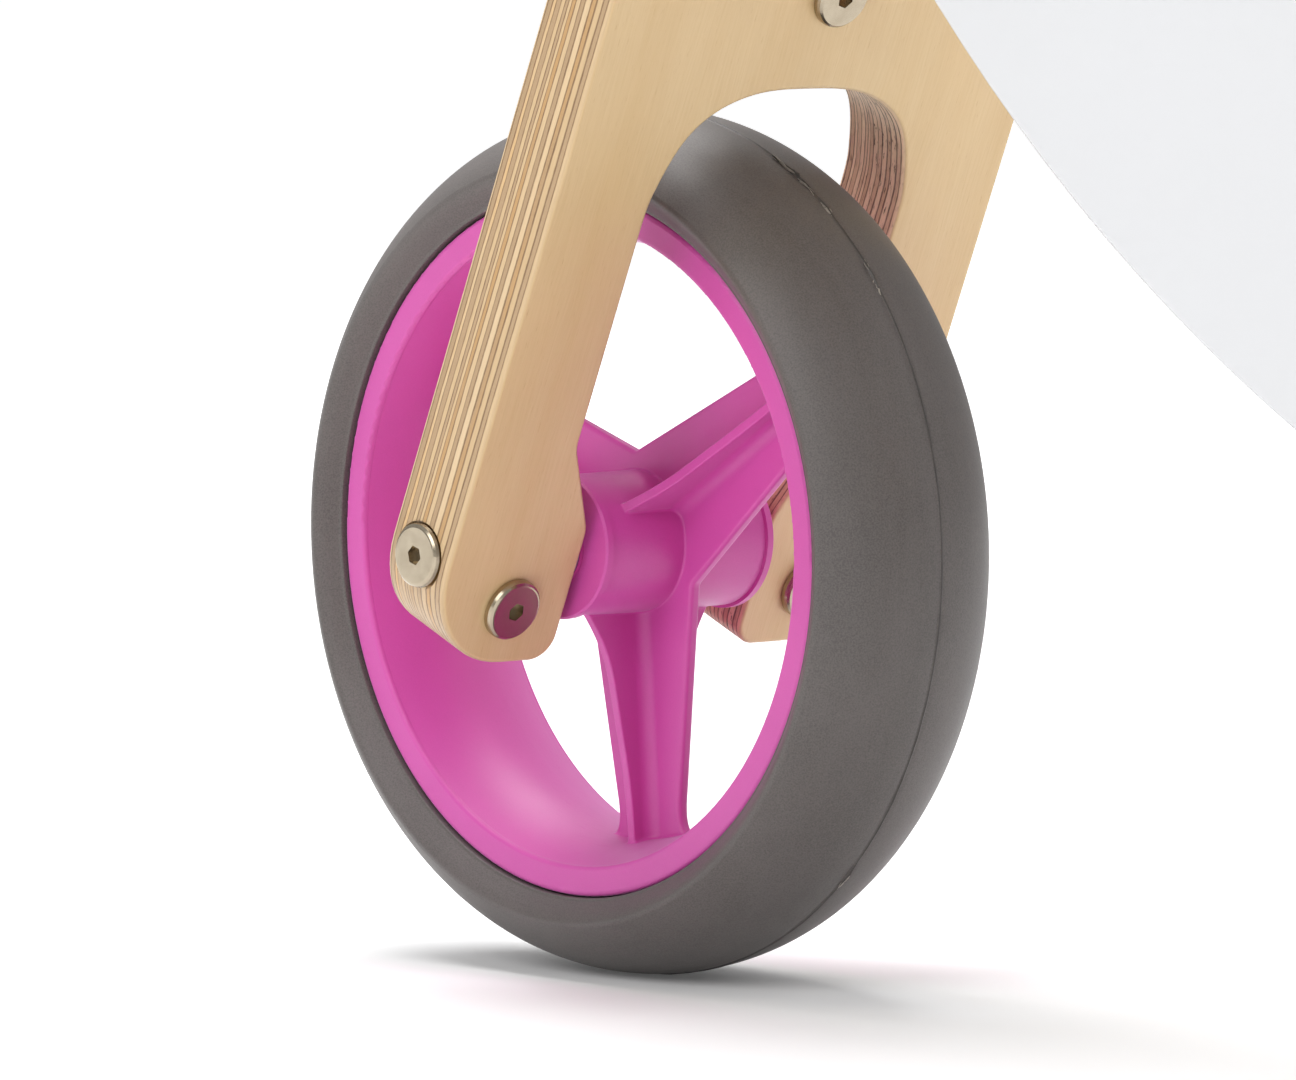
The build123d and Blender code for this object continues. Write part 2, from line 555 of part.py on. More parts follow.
def make_panel(side):
    with BuildPart() as panel:
        with BuildSketch(side_plane(PANEL_IN if side > 0 else -PANEL_OUT)) as outline:
            with BuildLine():
                a_low = (nose_low[0] + 14.0, belly_y(nose_low[0] + 14.0))
                mid_x = (a_low[0] + belly_end[0]) / 2 - 25
                nose_up = from_fork(NOSE_N, nose_s + 13.0)
                ThreePointArc(a_low, (mid_x, belly_y(mid_x)), belly_end)
                Line(belly_end, lobe_low)
                ThreePointArc(lobe_low, lobe_mid, lobe_high)
                Spline(lobe_high, (452.0, 60.0), (449.0, 110.0), (452.0, 137.0),
                       tangents=((-sin(radians(12)), cos(radians(12))), (0.05, 1.0)))
                Spline((452.0, 137.0), (446.0, 147.5), (436.0, SEAT_U), tangents=((0.05, 1.0), (-1, 0)))
                Line((436.0, SEAT_U), (286.0, SEAT_U))
                Spline((286.0, SEAT_U), (236.0, 157.0), (200.0, 187.0), (176.0, 222.0), (156.0, 235.5), nose_top,
                       tangents=((-1, 0), (-0.2, -1.0)))
                Line(nose_top, nose_up)
                Spline(nose_up, (nose_low[0] + 2.6, nose_low[1] + 0.4), a_low,
                       tangents=((-ST, -CT), (BELLY_C[1] - a_low[1], a_low[0] - BELLY_C[0])))
            make_face()
        extrude(amount=PLY_PANEL)
        faces = panel.faces().sort_by(Axis.Y)
        fillet(faces[0].edges() + faces[-1].edges(), 1.5)
        with BuildSketch(side_plane(-100)):
            with Locations(*PANEL_BOLTS):
                Circle(BOLT_R + 0.15)
            with Locations((WHEELBASE, 0)):
                Circle(BOLT_R + 0.15)
        extrude(amount=200, mode=Mode.SUBTRACT)
    return panel


side_panel_left = make_panel(1)
side_panel_left.part.label = "side_panel_left"
side_panel_right = make_panel(-1)
side_panel_right.part.label = "side_panel_right"

IN = PANEL_IN - 0.02
INSERT_R = 4.75
INSERT_L = 13.0


def drill_inserts(places):
    with BuildSketch(side_plane(-100)):
        with Locations(*places):
            Circle(INSERT_R)
    extrude(amount=200, mode=Mode.SUBTRACT)


with BuildPart() as head_block:
    with BuildSketch(level_plane(BLOCK_S0)) as section:
        with Locations((0, PIVOT_BACK)):
            Circle(14.5)
        with BuildLine():
            Polyline((-12.0, 24.0), (-IN, 46.0), (-IN, 78.0), (IN, 78.0), (IN, 46.0), (12.0, 24.0), close=True)
        make_face()
    extrude(amount=BLOCK_S1 - BLOCK_S0)
    with BuildSketch(Plane(origin=fork_point(0, BLOCK_S0 - 1, -PIVOT_BACK), x_dir=(0, 1, 0), z_dir=UPAX)):
        Circle(7.0)
    extrude(amount=BLOCK_S1 - BLOCK_S0 + 2, mode=Mode.SUBTRACT)
    with BuildSketch(side_plane(IN)):
        with Locations(PANEL_BOLTS[0], PANEL_BOLTS[1]):
            Circle(INSERT_R)
    extrude(amount=-INSERT_L - 5, mode=Mode.SUBTRACT)
    with BuildSketch(side_plane(-IN)):
        with Locations(PANEL_BOLTS[0], PANEL_BOLTS[1]):
            Circle(INSERT_R)
    extrude(amount=INSERT_L + 5, mode=Mode.SUBTRACT)
head_block.part.label = "head_block"

with BuildPart() as head_bushes:
    for s0, s1, sf in ((BLOCK_S0, BLOCK_S0 + 16, BLOCK_S0 - BUSH_FLANGE), (BLOCK_S1, BLOCK_S1 - 16, BLOCK_S1 + BUSH_FLANGE)):
        with BuildSketch(Plane(origin=fork_point(0, 0, -PIVOT_BACK), x_dir=BACK, z_dir=(0, 1, 0))):
            with BuildLine():
                Polyline((PIN_R + 0.05, s1), (7.0, s1), (7.0, s0), (11.0, s0), (11.0, sf), (PIN_R + 0.05, sf), close=True)
            make_face()
    revolve(axis=Axis(fork_point(0, 0, -PIVOT_BACK), UPAX))
head_bushes.part.label = "head_bushes"

with BuildPart() as seat_rail_front:
    with BuildSketch(side_plane(-IN)):
        with Locations((296.0, 123.9)):
            RectangleRounded(24.0, 52.0, 2.0)
        with Locations(PANEL_BOLTS[3], PANEL_BOLTS[4]):
            Circle(INSERT_R, mode=Mode.SUBTRACT)
    extrude(amount=2 * IN)
seat_rail_front.part.label = "seat_rail_front"

with BuildPart() as seat_rail_rear:
    with BuildSketch(side_plane(-IN)):
        with Locations((424.0, 135.2)):
            RectangleRounded(34.0, 29.4, 2.0)
        with Locations(PANEL_BOLTS[5]):
            Circle(INSERT_R, mode=Mode.SUBTRACT)
    extrude(amount=2 * IN)
seat_rail_rear.part.label = "seat_rail_rear"

with BuildPart() as frame_spreader:
    with BuildSketch(side_plane(-IN)):
        with Locations(PANEL_BOLTS[2]):
            Circle(14.0)
            Circle(INSERT_R, mode=Mode.SUBTRACT)
    extrude(amount=2 * IN)
frame_spreader.part.label = "frame_spreader"


def panel_point(place, y):
    return Vector(FRONT.X - place[0], y, FRONT.Z + place[1])


frame_bolts = make_bolts([(panel_point(p, PANEL_OUT), LEFT, PLY_PANEL + 12.0) for p in PANEL_BOLTS]
                         + [(panel_point(p, -PANEL_OUT), RIGHT, PLY_PANEL + 12.0) for p in PANEL_BOLTS])
frame_bolts.part.label = "frame_bolts"
insert_nuts = make_rings([(panel_point(p, IN - 0.5), RIGHT, INSERT_L) for p in PANEL_BOLTS]
                         + [(panel_point(p, -IN + 0.5), LEFT, INSERT_L) for p in PANEL_BOLTS], INSERT_R, BOLT_R, 0.3)
insert_nuts.part.label = "insert_nuts"

# rear axle: a threaded sleeve between the panels
rear_axle_sleeve = make_rings([(REAR - Vector(0, PANEL_IN - 0.05, 0), LEFT, 2 * PANEL_IN - 0.1)], AXLE_R, BOLT_R, 0.3)
rear_axle_sleeve.part.label = "rear_axle_sleeve"
rear_axle_bolts = make_bolts([(REAR + Vector(0, PANEL_OUT, 0), LEFT, PLY_PANEL + 20),
                              (REAR - Vector(0, PANEL_OUT, 0), RIGHT, PLY_PANEL + 20)])
rear_axle_bolts.part.label = "rear_axle_bolts"
rear_axle_washers = make_rings([(REAR + Vector(0, HUB_HALF + 1.1, 0), LEFT, 1.2),
                                (REAR - Vector(0, HUB_HALF + 1.1, 0), RIGHT, 1.2)], 9.0, AXLE_R + 0.05)
rear_axle_washers.part.label = "rear_axle_washers"
rear_spacers = make_rings([(REAR + Vector(0, HUB_HALF + 2.3, 0), LEFT, PANEL_IN - HUB_HALF - 2.32),
                           (REAR - Vector(0, HUB_HALF + 2.3, 0), RIGHT, PANEL_IN - HUB_HALF - 2.32)], 9.5, AXLE_R + 0.05, 0.5)
rear_spacers.part.label = "rear_spacers"

# ---------------------------------------------------------------- seat
SEAT_BASE_T = 12.0
SEAT_X0, SEAT_X1 = 262.0, 452.0
seat_plane = Plane(origin=(FRONT.X, 0, FRONT.Z + SEAT_U + 0.02), x_dir=(-1, 0, 0), z_dir=(0, 0, 1))


def seat_outline(inset):
    """Closed outline of the seat, narrow at the front and broad at the back."""
    half_pts = [(SEAT_X0 + 9, 26), (SEAT_X0 + 34, 43), (SEAT_X0 + 75, 51), (SEAT_X0 + 118, 60), (SEAT_X0 + 152, 61),
                (SEAT_X1 - 15, 47), (SEAT_X1 - 3, 24)]
    centre_x = (SEAT_X0 + SEAT_X1) / 2
    length = SEAT_X1 - SEAT_X0
    kx, ky = (length - 2 * inset) / length, (61.0 - inset) / 61.0
    ring = [(SEAT_X0, 0)] + half_pts + [(SEAT_X1, 0)] + [(px, -py) for px, py in reversed(half_pts)]
    return [(centre_x + (px - centre_x) * kx, py * ky) for px, py in ring]


SEAT_SCREWS = [(296.0, 18.0), (296.0, -18.0), (426.0, 18.0), (426.0, -18.0)]

with BuildPart() as seat_base:
    with BuildSketch(seat_plane):
        with BuildLine():
            Spline(*seat_outline(4.0), periodic=True)
        make_face()
    extrude(amount=SEAT_BASE_T)
    fillet(seat_base.faces().sort_by(Axis.Z)[0].edges(), 2.0)
    with BuildSketch(seat_plane):
        with Locations(*SEAT_SCREWS):
            Circle(2.2)
    extrude(amount=SEAT_BASE_T, mode=Mode.SUBTRACT)
    with BuildSketch(seat_plane.offset(SEAT_BASE_T - 3.2)):
        with Locations(*SEAT_SCREWS):
            Circle(4.6)
    extrude(amount=3.2, mode=Mode.SUBTRACT)
seat_base.part.label = "seat_base"

with BuildPart() as seat_screws:
    for sx, sy in SEAT_SCREWS:
        top = Vector(FRONT.X - sx, sy, FRONT.Z + SEAT_U + SEAT_BASE_T - 0.4)
        with BuildSketch(Plane(origin=top, x_dir=(1, 0, 0), z_dir=(0, -1, 0))):
            with BuildLine():
                Polyline((0, 0), (4.3, 0), (4.3, -0.5), (2.0, -2.8), (2.0, -34.0), (0, -38.0), close=True)
            make_face()
        revolve(axis=Axis(top, (0, 0, 1)))
        with BuildSketch(Plane(origin=top + Vector(0, 0, 0.5), x_dir=(1, 0, 0), z_dir=(0, 0, -1))):
            Rectangle(4.2, 0.9)
            Rectangle(0.9, 4.2)
        extrude(amount=1.8, mode=Mode.SUBTRACT)
seat_screws.part.label = "seat_screws"

with BuildPart() as seat_pad:
    with BuildSketch(seat_plane.offset(SEAT_BASE_T + 0.02)):
        with BuildLine():
            Spline(*seat_outline(0.0), periodic=True)
        make_face()
    extrude(amount=28.0)
    fillet(seat_pad.faces().sort_by(Axis.Z)[-1].edges(), 11.0)
    fillet(seat_pad.faces().sort_by(Axis.Z)[0].edges(), 2.5)
seat_pad.part.label = "seat_pad"

# screw holes in the rails, under the seat base
for rail_name, rail, picks in (("front", seat_rail_front, SEAT_SCREWS[:2]), ("rear", seat_rail_rear, SEAT_SCREWS[2:])):
    with rail:
        with BuildSketch(seat_plane):
            with Locations(*picks):
                Circle(2.0)
        extrude(amount=-30.0, mode=Mode.SUBTRACT)
seat_rail_front.part.label = "seat_rail_front"
seat_rail_rear.part.label = "seat_rail_rear"

ALL = (front_tyre, front_rim, front_hub_bushes, rear_tyre, rear_rim, rear_hub_bushes, fork_plate, stem_board, handlebar,
       grip_left, grip_right, front_axle_sleeve, front_axle_bolts, front_axle_washers, fork_face_bolts, fork_face_nuts,
       stem_bolts, stem_nuts, hinge_bracket_lower, hinge_bracket_upper, bracket_bolts, steering_pin, steering_pin_washer,
       steering_lock_nut, side_panel_left, side_panel_right, head_block, head_bushes, seat_rail_front, seat_rail_rear,
       frame_spreader, frame_bolts, insert_nuts, rear_axle_sleeve, rear_axle_bolts, rear_axle_washers, rear_spacers,
       seat_base, seat_screws, seat_pad)

for piece in ALL:
    export_step(piece.part, "parts/" + piece.part.label + ".step")

print("nose", nose_low, nose_top, "belly end", belly_end, "lobe low", lobe_low)
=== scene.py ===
import math
import random

import bmesh
import bpy
import numpy as np
from mathutils import Matrix, Vector, noise as mnoise
from mathutils.bvhtree import BVHTree


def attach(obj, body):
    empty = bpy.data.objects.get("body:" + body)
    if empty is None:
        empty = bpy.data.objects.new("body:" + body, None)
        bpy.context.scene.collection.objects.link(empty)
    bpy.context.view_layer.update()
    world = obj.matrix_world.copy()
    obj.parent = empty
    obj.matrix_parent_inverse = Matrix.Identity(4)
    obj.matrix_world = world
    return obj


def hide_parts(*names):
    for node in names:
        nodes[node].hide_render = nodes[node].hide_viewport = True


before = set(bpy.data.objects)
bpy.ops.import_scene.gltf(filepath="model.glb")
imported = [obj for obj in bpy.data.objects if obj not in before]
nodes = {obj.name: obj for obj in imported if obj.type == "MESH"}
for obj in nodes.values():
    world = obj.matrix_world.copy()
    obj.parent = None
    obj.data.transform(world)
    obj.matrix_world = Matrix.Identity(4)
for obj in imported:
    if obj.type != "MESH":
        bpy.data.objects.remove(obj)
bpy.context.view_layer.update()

SEED = 20417
MM = 0.001
RAKE = math.radians(23.4)
CT, ST = math.cos(RAKE), math.sin(RAKE)
FRONT = Vector((0.220, 0.0, 0.1015))
REAR = Vector((-0.220, 0.0, 0.1015))
FORK_F = (CT, 0.0, ST)      # square to the fork plate, forward
FORK_S = (-ST, 0.0, CT)     # up along the fork plate
AXIS_Y = (0.0, 1.0, 0.0)


# ------------------------------------------------------------------ node helpers
class Mat:
    """A material and short names for the nodes it is made of."""

    def __init__(self, name):
        self.m = bpy.data.materials.new(name)
        self.m.use_nodes = True
        self.t = self.m.node_tree
        self.t.nodes.clear()
        self.out = self.t.nodes.new("ShaderNodeOutputMaterial")
        self._obj = None

    def new(self, kind, **props):
        n = self.t.nodes.new(kind)
        for k, v in props.items():
            setattr(n, k, v)
        return n

    def put(self, socket, value):
        if value is None:
            return
        if isinstance(value, bpy.types.NodeSocket):
            self.t.links.new(value, socket)
        elif hasattr(value, "__len__") and socket.type == "RGBA" and len(value) == 3:
            socket.default_value = (*value, 1.0)
        else:
            socket.default_value = value

    def coord(self):
        if self._obj is None:
            self._obj = self.new("ShaderNodeTexCoord")
        return self._obj.outputs["Object"]

    def normal(self):
        self.coord()
        return self._obj.outputs["Normal"]

    def math(self, op, a, b=None, c=None, clamp=False):
        n = self.new("ShaderNodeMath", operation=op, use_clamp=clamp)
        for s, v in zip(n.inputs, (a, b, c)):
            self.put(s, v)
        return n.outputs[0]

    def vmath(self, op, a, b=None, scale=None):
        n = self.new("ShaderNodeVectorMath", operation=op)
        self.put(n.inputs[0], a)
        if b is not None:
            self.put(n.inputs[1], b)
        if scale is not None:
            self.put(n.inputs["Scale"], scale)
        return n.outputs["Value"] if op in ("DOT_PRODUCT", "LENGTH", "DISTANCE") else n.outputs["Vector"]

    def dot(self, a, b):
        return self.vmath("DOT_PRODUCT", a, b)

    def xyz(self, v):
        n = self.new("ShaderNodeSeparateXYZ")
        self.put(n.inputs[0], v)
        return n.outputs[0], n.outputs[1], n.outputs[2]

    def vec(self, x, y, z):
        n = self.new("ShaderNodeCombineXYZ")
        for s, v in zip(n.inputs, (x, y, z)):
            self.put(s, v)
        return n.outputs[0]

    def noise(self, vector, scale=1.0, detail=2.0, rough=0.5, distortion=0.0):
        n = self.new("ShaderNodeTexNoise")
        self.put(n.inputs["Vector"], vector)
        n.inputs["Scale"].default_value = scale
        n.inputs["Detail"].default_value = detail
        n.inputs["Roughness"].default_value = rough
        n.inputs["Distortion"].default_value = distortion
        return n.outputs["Fac"] if "Fac" in n.outputs else n.outputs[0]

    def voronoi(self, vector, scale=1.0, feature="F1"):
        n = self.new("ShaderNodeTexVoronoi", feature=feature)
        self.put(n.inputs["Vector"], vector)
        n.inputs["Scale"].default_value = scale
        return n

    def white(self, value):
        n = self.new("ShaderNodeTexWhiteNoise", noise_dimensions="1D")
        self.put(n.inputs["W"], value)
        return n.outputs["Value"]

    def span(self, v, a, b, c=0.0, d=1.0, smooth=False):
        n = self.new("ShaderNodeMapRange", interpolation_type="SMOOTHSTEP" if smooth else "LINEAR")
        for s, x in zip(n.inputs, (v, a, b, c, d)):
            self.put(s, x)
        return n.outputs[0]

    def mix(self, fac, a, b, blend="MIX"):
        n = self.new("ShaderNodeMix", data_type="RGBA", blend_type=blend)
        n.clamp_factor = True
        self.put(n.inputs["Factor"], fac)
        self.put(n.inputs["A"] if False else n.inputs[6], a)
        self.put(n.inputs[7], b)
        return n.outputs[2]

    def ramp(self, fac, stops, interpolation="LINEAR"):
        n = self.new("ShaderNodeValToRGB")
        r = n.color_ramp
        r.interpolation = interpolation
        while len(r.elements) < len(stops):
            r.elements.new(0.5)
        for e, (p, c) in zip(r.elements, stops):
            e.position = p
            e.color = (*c, 1.0) if len(c) == 3 else c
        self.put(n.inputs[0], fac)
        return n.outputs[0]

    def curve(self, value, points):
        n = self.new("ShaderNodeFloatCurve")
        c = n.mapping.curves[0]
        while len(c.points) < len(points):
            c.points.new(0.5, 0.5)
        for p, (x, y) in zip(c.points, points):
            p.location = (x, y)
            p.handle_type = "VECTOR"
        n.mapping.update()
        self.put(n.inputs["Value"], value)
        return n.outputs[0]

    def bump(self, height, distance, strength=1.0, normal=None):
        n = self.new("ShaderNodeBump")
        n.inputs["Strength"].default_value = strength
        n.inputs["Distance"].default_value = distance
        self.put(n.inputs["Height"], height)
        if normal is not None:
            self.put(n.inputs["Normal"], normal)
        return n.outputs[0]

    def shader(self, **inputs):
        n = self.new("ShaderNodeBsdfPrincipled")
        for k, v in inputs.items():
            self.put(n.inputs[k.replace("_", " ")], v)
        self.t.links.new(n.outputs[0], self.out.inputs[0])
        return n


def srgb(r, g, b):
    """Linear colour from 0-255 display values."""
    return tuple(((x / 255.0) / 12.92 if x / 255.0 <= 0.04045 else ((x / 255.0 + 0.055) / 1.055) ** 2.4) for x in (r, g, b))


def wear(m, keep=1.0):
    """0 to 1, soft large-scale patches for small differences in tone."""
    return m.noise(m.coord(), 18.0, 3.0, 0.55)


# ------------------------------------------------------------------ materials
LIGHT_PLY = srgb(219, 193, 154)
CROSS_PLY = srgb(182, 153, 117)
GLUE = srgb(122, 92, 58)
PLY_LINES = [4, 9, 12.5, 17.5, 22, 25.2, 28.4, 32.5, 38, 42.5, 49, 54, 61, 66]


def plywood(name, origin, across, along, thick, lines, light=LIGHT_PLY, cross=CROSS_PLY, face=srgb(220, 193, 148),
            burnt=False, flip=False):
    """Clear-lacquered birch board. across is square to the board, along is the face grain, thick in mm."""
    m = Mat(name)
    p = m.coord()
    n = m.normal()
    rel = m.vmath("SUBTRACT", p, tuple(origin))
    side = tuple(Vector(across).cross(Vector(along)))
    f = m.math("MULTIPLY", m.dot(rel, across), 1000.0)
    s = m.math("MULTIPLY", m.dot(rel, along), 1000.0)
    a = m.math("MULTIPLY", m.dot(rel, side), 1000.0)
    # the veneers wander a little along the board
    waver = m.noise(m.vec(m.math("MULTIPLY", s, 0.020), m.math("MULTIPLY", a, 0.020), m.math("MULTIPLY", f, 0.25)), 1.0, 2.0, 0.5)
    fine = m.noise(m.vec(m.math("MULTIPLY", s, 0.30), m.math("MULTIPLY", a, 0.30), m.math("MULTIPLY", f, 0.8)), 1.0, 1.0, 0.5)
    shift = m.math("ADD", m.math("MULTIPLY", m.math("SUBTRACT", waver, 0.5), 0.75),
                   m.math("MULTIPLY", m.math("SUBTRACT", fine, 0.5), 0.16))
    depth = m.math("ADD", f, thick / 2)
    inner = m.math("MULTIPLY", m.span(depth, 0.0, 1.2, smooth=True), m.span(depth, thick - 1.2, thick, 1.0, 0.0, smooth=True))
    depth = m.math("ADD", depth, m.math("MULTIPLY", shift, inner))
    pos = m.math("DIVIDE", depth, thick, clamp=True)
    total = len(lines) + 1
    marks = [x / lines[-1] * (1 - 1.2 / thick) for x in lines] if max(lines) <= 1 else [x / 70.0 for x in lines]
    if flip:
        marks = sorted(1 - x for x in marks)
    points = [(0.0, 0.0)] + [(x, (i + 1) / total) for i, x in enumerate(marks)] + [(1.0, 1.0)]
    u = m.math("MULTIPLY", m.curve(pos, points), total)
    index = m.math("FLOOR", m.math("MINIMUM", u, total - 0.001))
    fr = m.math("SUBTRACT", u, index)
    odd = m.math("MODULO", index, 2.0)            # 1: grain across the board
    r1 = m.white(m.math("ADD", index, 3.7))
    r2 = m.white(m.math("ADD", index, 21.3))
    # how far the surface cuts each veneer's fibres
    n_s = m.math("ABSOLUTE", m.dot(n, along))
    n_a = m.math("ABSOLUTE", m.dot(n, side))
    n_f = m.math("ABSOLUTE", m.dot(n, across))
    cut = m.math("ADD", m.math("MULTIPLY", n_s, m.math("SUBTRACT", 1.0, odd)), m.math("MULTIPLY", n_a, odd))
    # fibres: streaks along the grain, dots on the cut ends
    wob = m.math("MULTIPLY", m.math("SUBTRACT", m.noise(m.vec(m.math("MULTIPLY", s, 0.012), m.math("MULTIPLY", a, 0.05), f), 1.0, 2.0, 0.5), 0.5), 7.0)
    aw = m.math("ADD", a, wob)
    long_fibre = m.noise(m.vec(m.math("MULTIPLY", s, 0.055), m.math("MULTIPLY", aw, 1.9), m.math("MULTIPLY", f, 1.9)), 1.0, 4.0, 0.62)
    cross_fibre = m.noise(m.vec(m.math("MULTIPLY", s, 1.9), m.math("MULTIPLY", a, 0.055), m.math("MULTIPLY", f, 2.2)), 1.0, 4.0, 0.62)
    fibre = m.math("ADD", m.math("MULTIPLY", long_fibre, m.math("SUBTRACT", 1.0, odd)), m.math("MULTIPLY", cross_fibre, odd))
    broad = m.noise(m.vec(m.math("MULTIPLY", s, 0.006), m.math("MULTIPLY", aw, 0.085), m.math("MULTIPLY", f, 0.3)), 1.0, 3.0, 0.55)
    vessels = m.noise(m.vec(m.math("MULTIPLY", s, 0.28), m.math("MULTIPLY", aw, 4.6), m.math("MULTIPLY", f, 4.6)), 1.0, 2.0, 0.5)
    cloud = m.noise(m.vec(m.math("MULTIPLY", s, 0.018), m.math("MULTIPLY", a, 0.03), 0.0), 1.0, 2.0, 0.5)
    # tone of each veneer
    tone = m.mix(m.math("MULTIPLY", r1, 0.85), light, tuple(x * k for x, k in zip(light, (0.86, 0.80, 0.70))))
    dull = m.mix(r2, cross, tuple(x * k for x, k in zip(cross, (0.78, 0.73, 0.66))))
    edge_col = m.mix(m.math("MULTIPLY", cut, 0.95), tone, dull)
    edge_col = m.mix(m.span(fibre, 0.30, 0.72, 0.0, 0.42), edge_col, m.mix(0.5, edge_col, srgb(150, 110, 66)))
    orange = m.span(m.white(m.math("ADD", index, 50.9)), 0.80, 0.86, 0.0, 0.35)
    edge_col = m.mix(m.math("MULTIPLY", orange, m.span(waver, 0.35, 0.6)), edge_col, srgb(214, 160, 84))
    # glue lines
    near = m.math("MULTIPLY", m.math("MINIMUM", fr, m.math("SUBTRACT", 1.0, fr)), thick / total)
    line_id = m.math("ROUND", u)
    rl = m.white(m.math("ADD", line_id, 7.77))
    spots = m.noise(m.vec(m.math("MULTIPLY", s, 0.22), m.math("MULTIPLY", a, 0.22), m.math("MULTIPLY", line_id, 3.1)), 1.0, 3.0, 0.6)
    width = m.math("ADD", 0.10, m.math("MULTIPLY", m.math("ADD", rl, spots), 0.095))
    line = m.math("SUBTRACT", 1.0, m.span(m.math("DIVIDE", near, width), 0.45, 1.35, smooth=True))
    line = m.math("MULTIPLY", line, m.span(m.math("ADD", m.math("MULTIPLY", rl, 0.5), spots), 0.25, 1.05, 0.42, 1.0))
    end_keep = m.math("MULTIPLY", m.span(u, 0.30, 0.36), m.span(u, total - 0.36, total - 0.30, 1.0, 0.0))
    line = m.math("MULTIPLY", line, end_keep)
    edge_col = m.mix(line, edge_col, GLUE)
    # the face: pale, with fine quiet grain
    face_col = m.mix(m.span(broad, 0.30, 0.72), face, tuple(x * k for x, k in zip(face, (0.93, 0.88, 0.79))))
    face_col = m.mix(m.span(long_fibre, 0.40, 0.70, 0.0, 0.35), face_col, tuple(x * k for x, k in zip(face, (0.80, 0.71, 0.58))))
    face_col = m.mix(m.span(cloud, 0.35, 0.75, 0.0, 0.45), face_col, tuple(x * k for x, k in zip(face, (1.06, 1.04, 1.0))))
    face_col = m.mix(m.span(vessels, 0.66, 0.76, 0.0, 0.40), face_col, srgb(176, 128, 78))
    on_face = m.span(n_f, 0.72, 0.97, smooth=True)
    col = m.mix(on_face, edge_col, face_col)
    gloss = m.math("ADD", 0.44, m.math("MULTIPLY", m.math("SUBTRACT", fibre, 0.5), 0.20))
    relief = m.math("ADD", m.math("MULTIPLY", fibre, 0.35), m.math("MULTIPLY", line, -0.9))
    deep = 0.00010
    if burnt:
        # the arch and the legs' inner edges are left as the cutter left them: browned and torn, with painted shade
        # making them darker towards the bottom
        am = m.math("ABSOLUTE", a)
        inside = m.math("MULTIPLY", m.span(am, 41.5, 44.5, 1.0, 0.0, smooth=True), m.span(s, 124.0, 130.0, 1.0, 0.0, smooth=True))
        inside = m.math("MULTIPLY", inside, m.span(n_f, 0.55, 0.90, 1.0, 0.0, smooth=True))
        # painted shade: the browned edges darken from the top of the arch down towards the axle
        painted_shade_low = m.span(s, 30.0, 118.0, 1.0, 0.0)
        dark = m.mix(painted_shade_low, srgb(242, 216, 180), srgb(222, 178, 146))
        dark2 = m.mix(painted_shade_low, srgb(208, 176, 140), srgb(176, 126, 98))
        torn = m.noise(m.vec(m.math("MULTIPLY", s, 0.35), m.math("MULTIPLY", a, 0.35), m.math("MULTIPLY", f, 1.5)), 1.0, 4.0, 0.7)
        b = m.mix(m.span(m.math("ADD", m.math("MULTIPLY", cut, 0.6), m.math("MULTIPLY", r2, 0.5)), 0.3, 1.0), dark, dark2)
        b = m.mix(m.span(torn, 0.50, 0.70, 0.0, 0.45), b, srgb(120, 82, 60))
        pits = m.math("MULTIPLY", m.span(torn, 0.61, 0.66), m.span(m.white(m.math("ADD", index, 11.0)), 0.35, 0.55))
        b = m.mix(pits, b, srgb(58, 38, 28))
        b = m.mix(m.math("MULTIPLY", line, 0.9), b, srgb(78, 46, 34))
        col = m.mix(inside, col, b)
        gloss = m.math("ADD", gloss, m.math("MULTIPLY", inside, 0.2))
        relief = m.math("SUBTRACT", relief, m.math("MULTIPLY", inside, m.math("ADD", m.math("MULTIPLY", pits, 2.2), torn)))
    nrm = m.bump(relief, deep)
    m.shader(Base_Color=col, Roughness=gloss, Normal=nrm, IOR=1.48, Coat_Weight=0.16, Coat_Roughness=0.24,
             Subsurface_Weight=0.0)
    return m.m


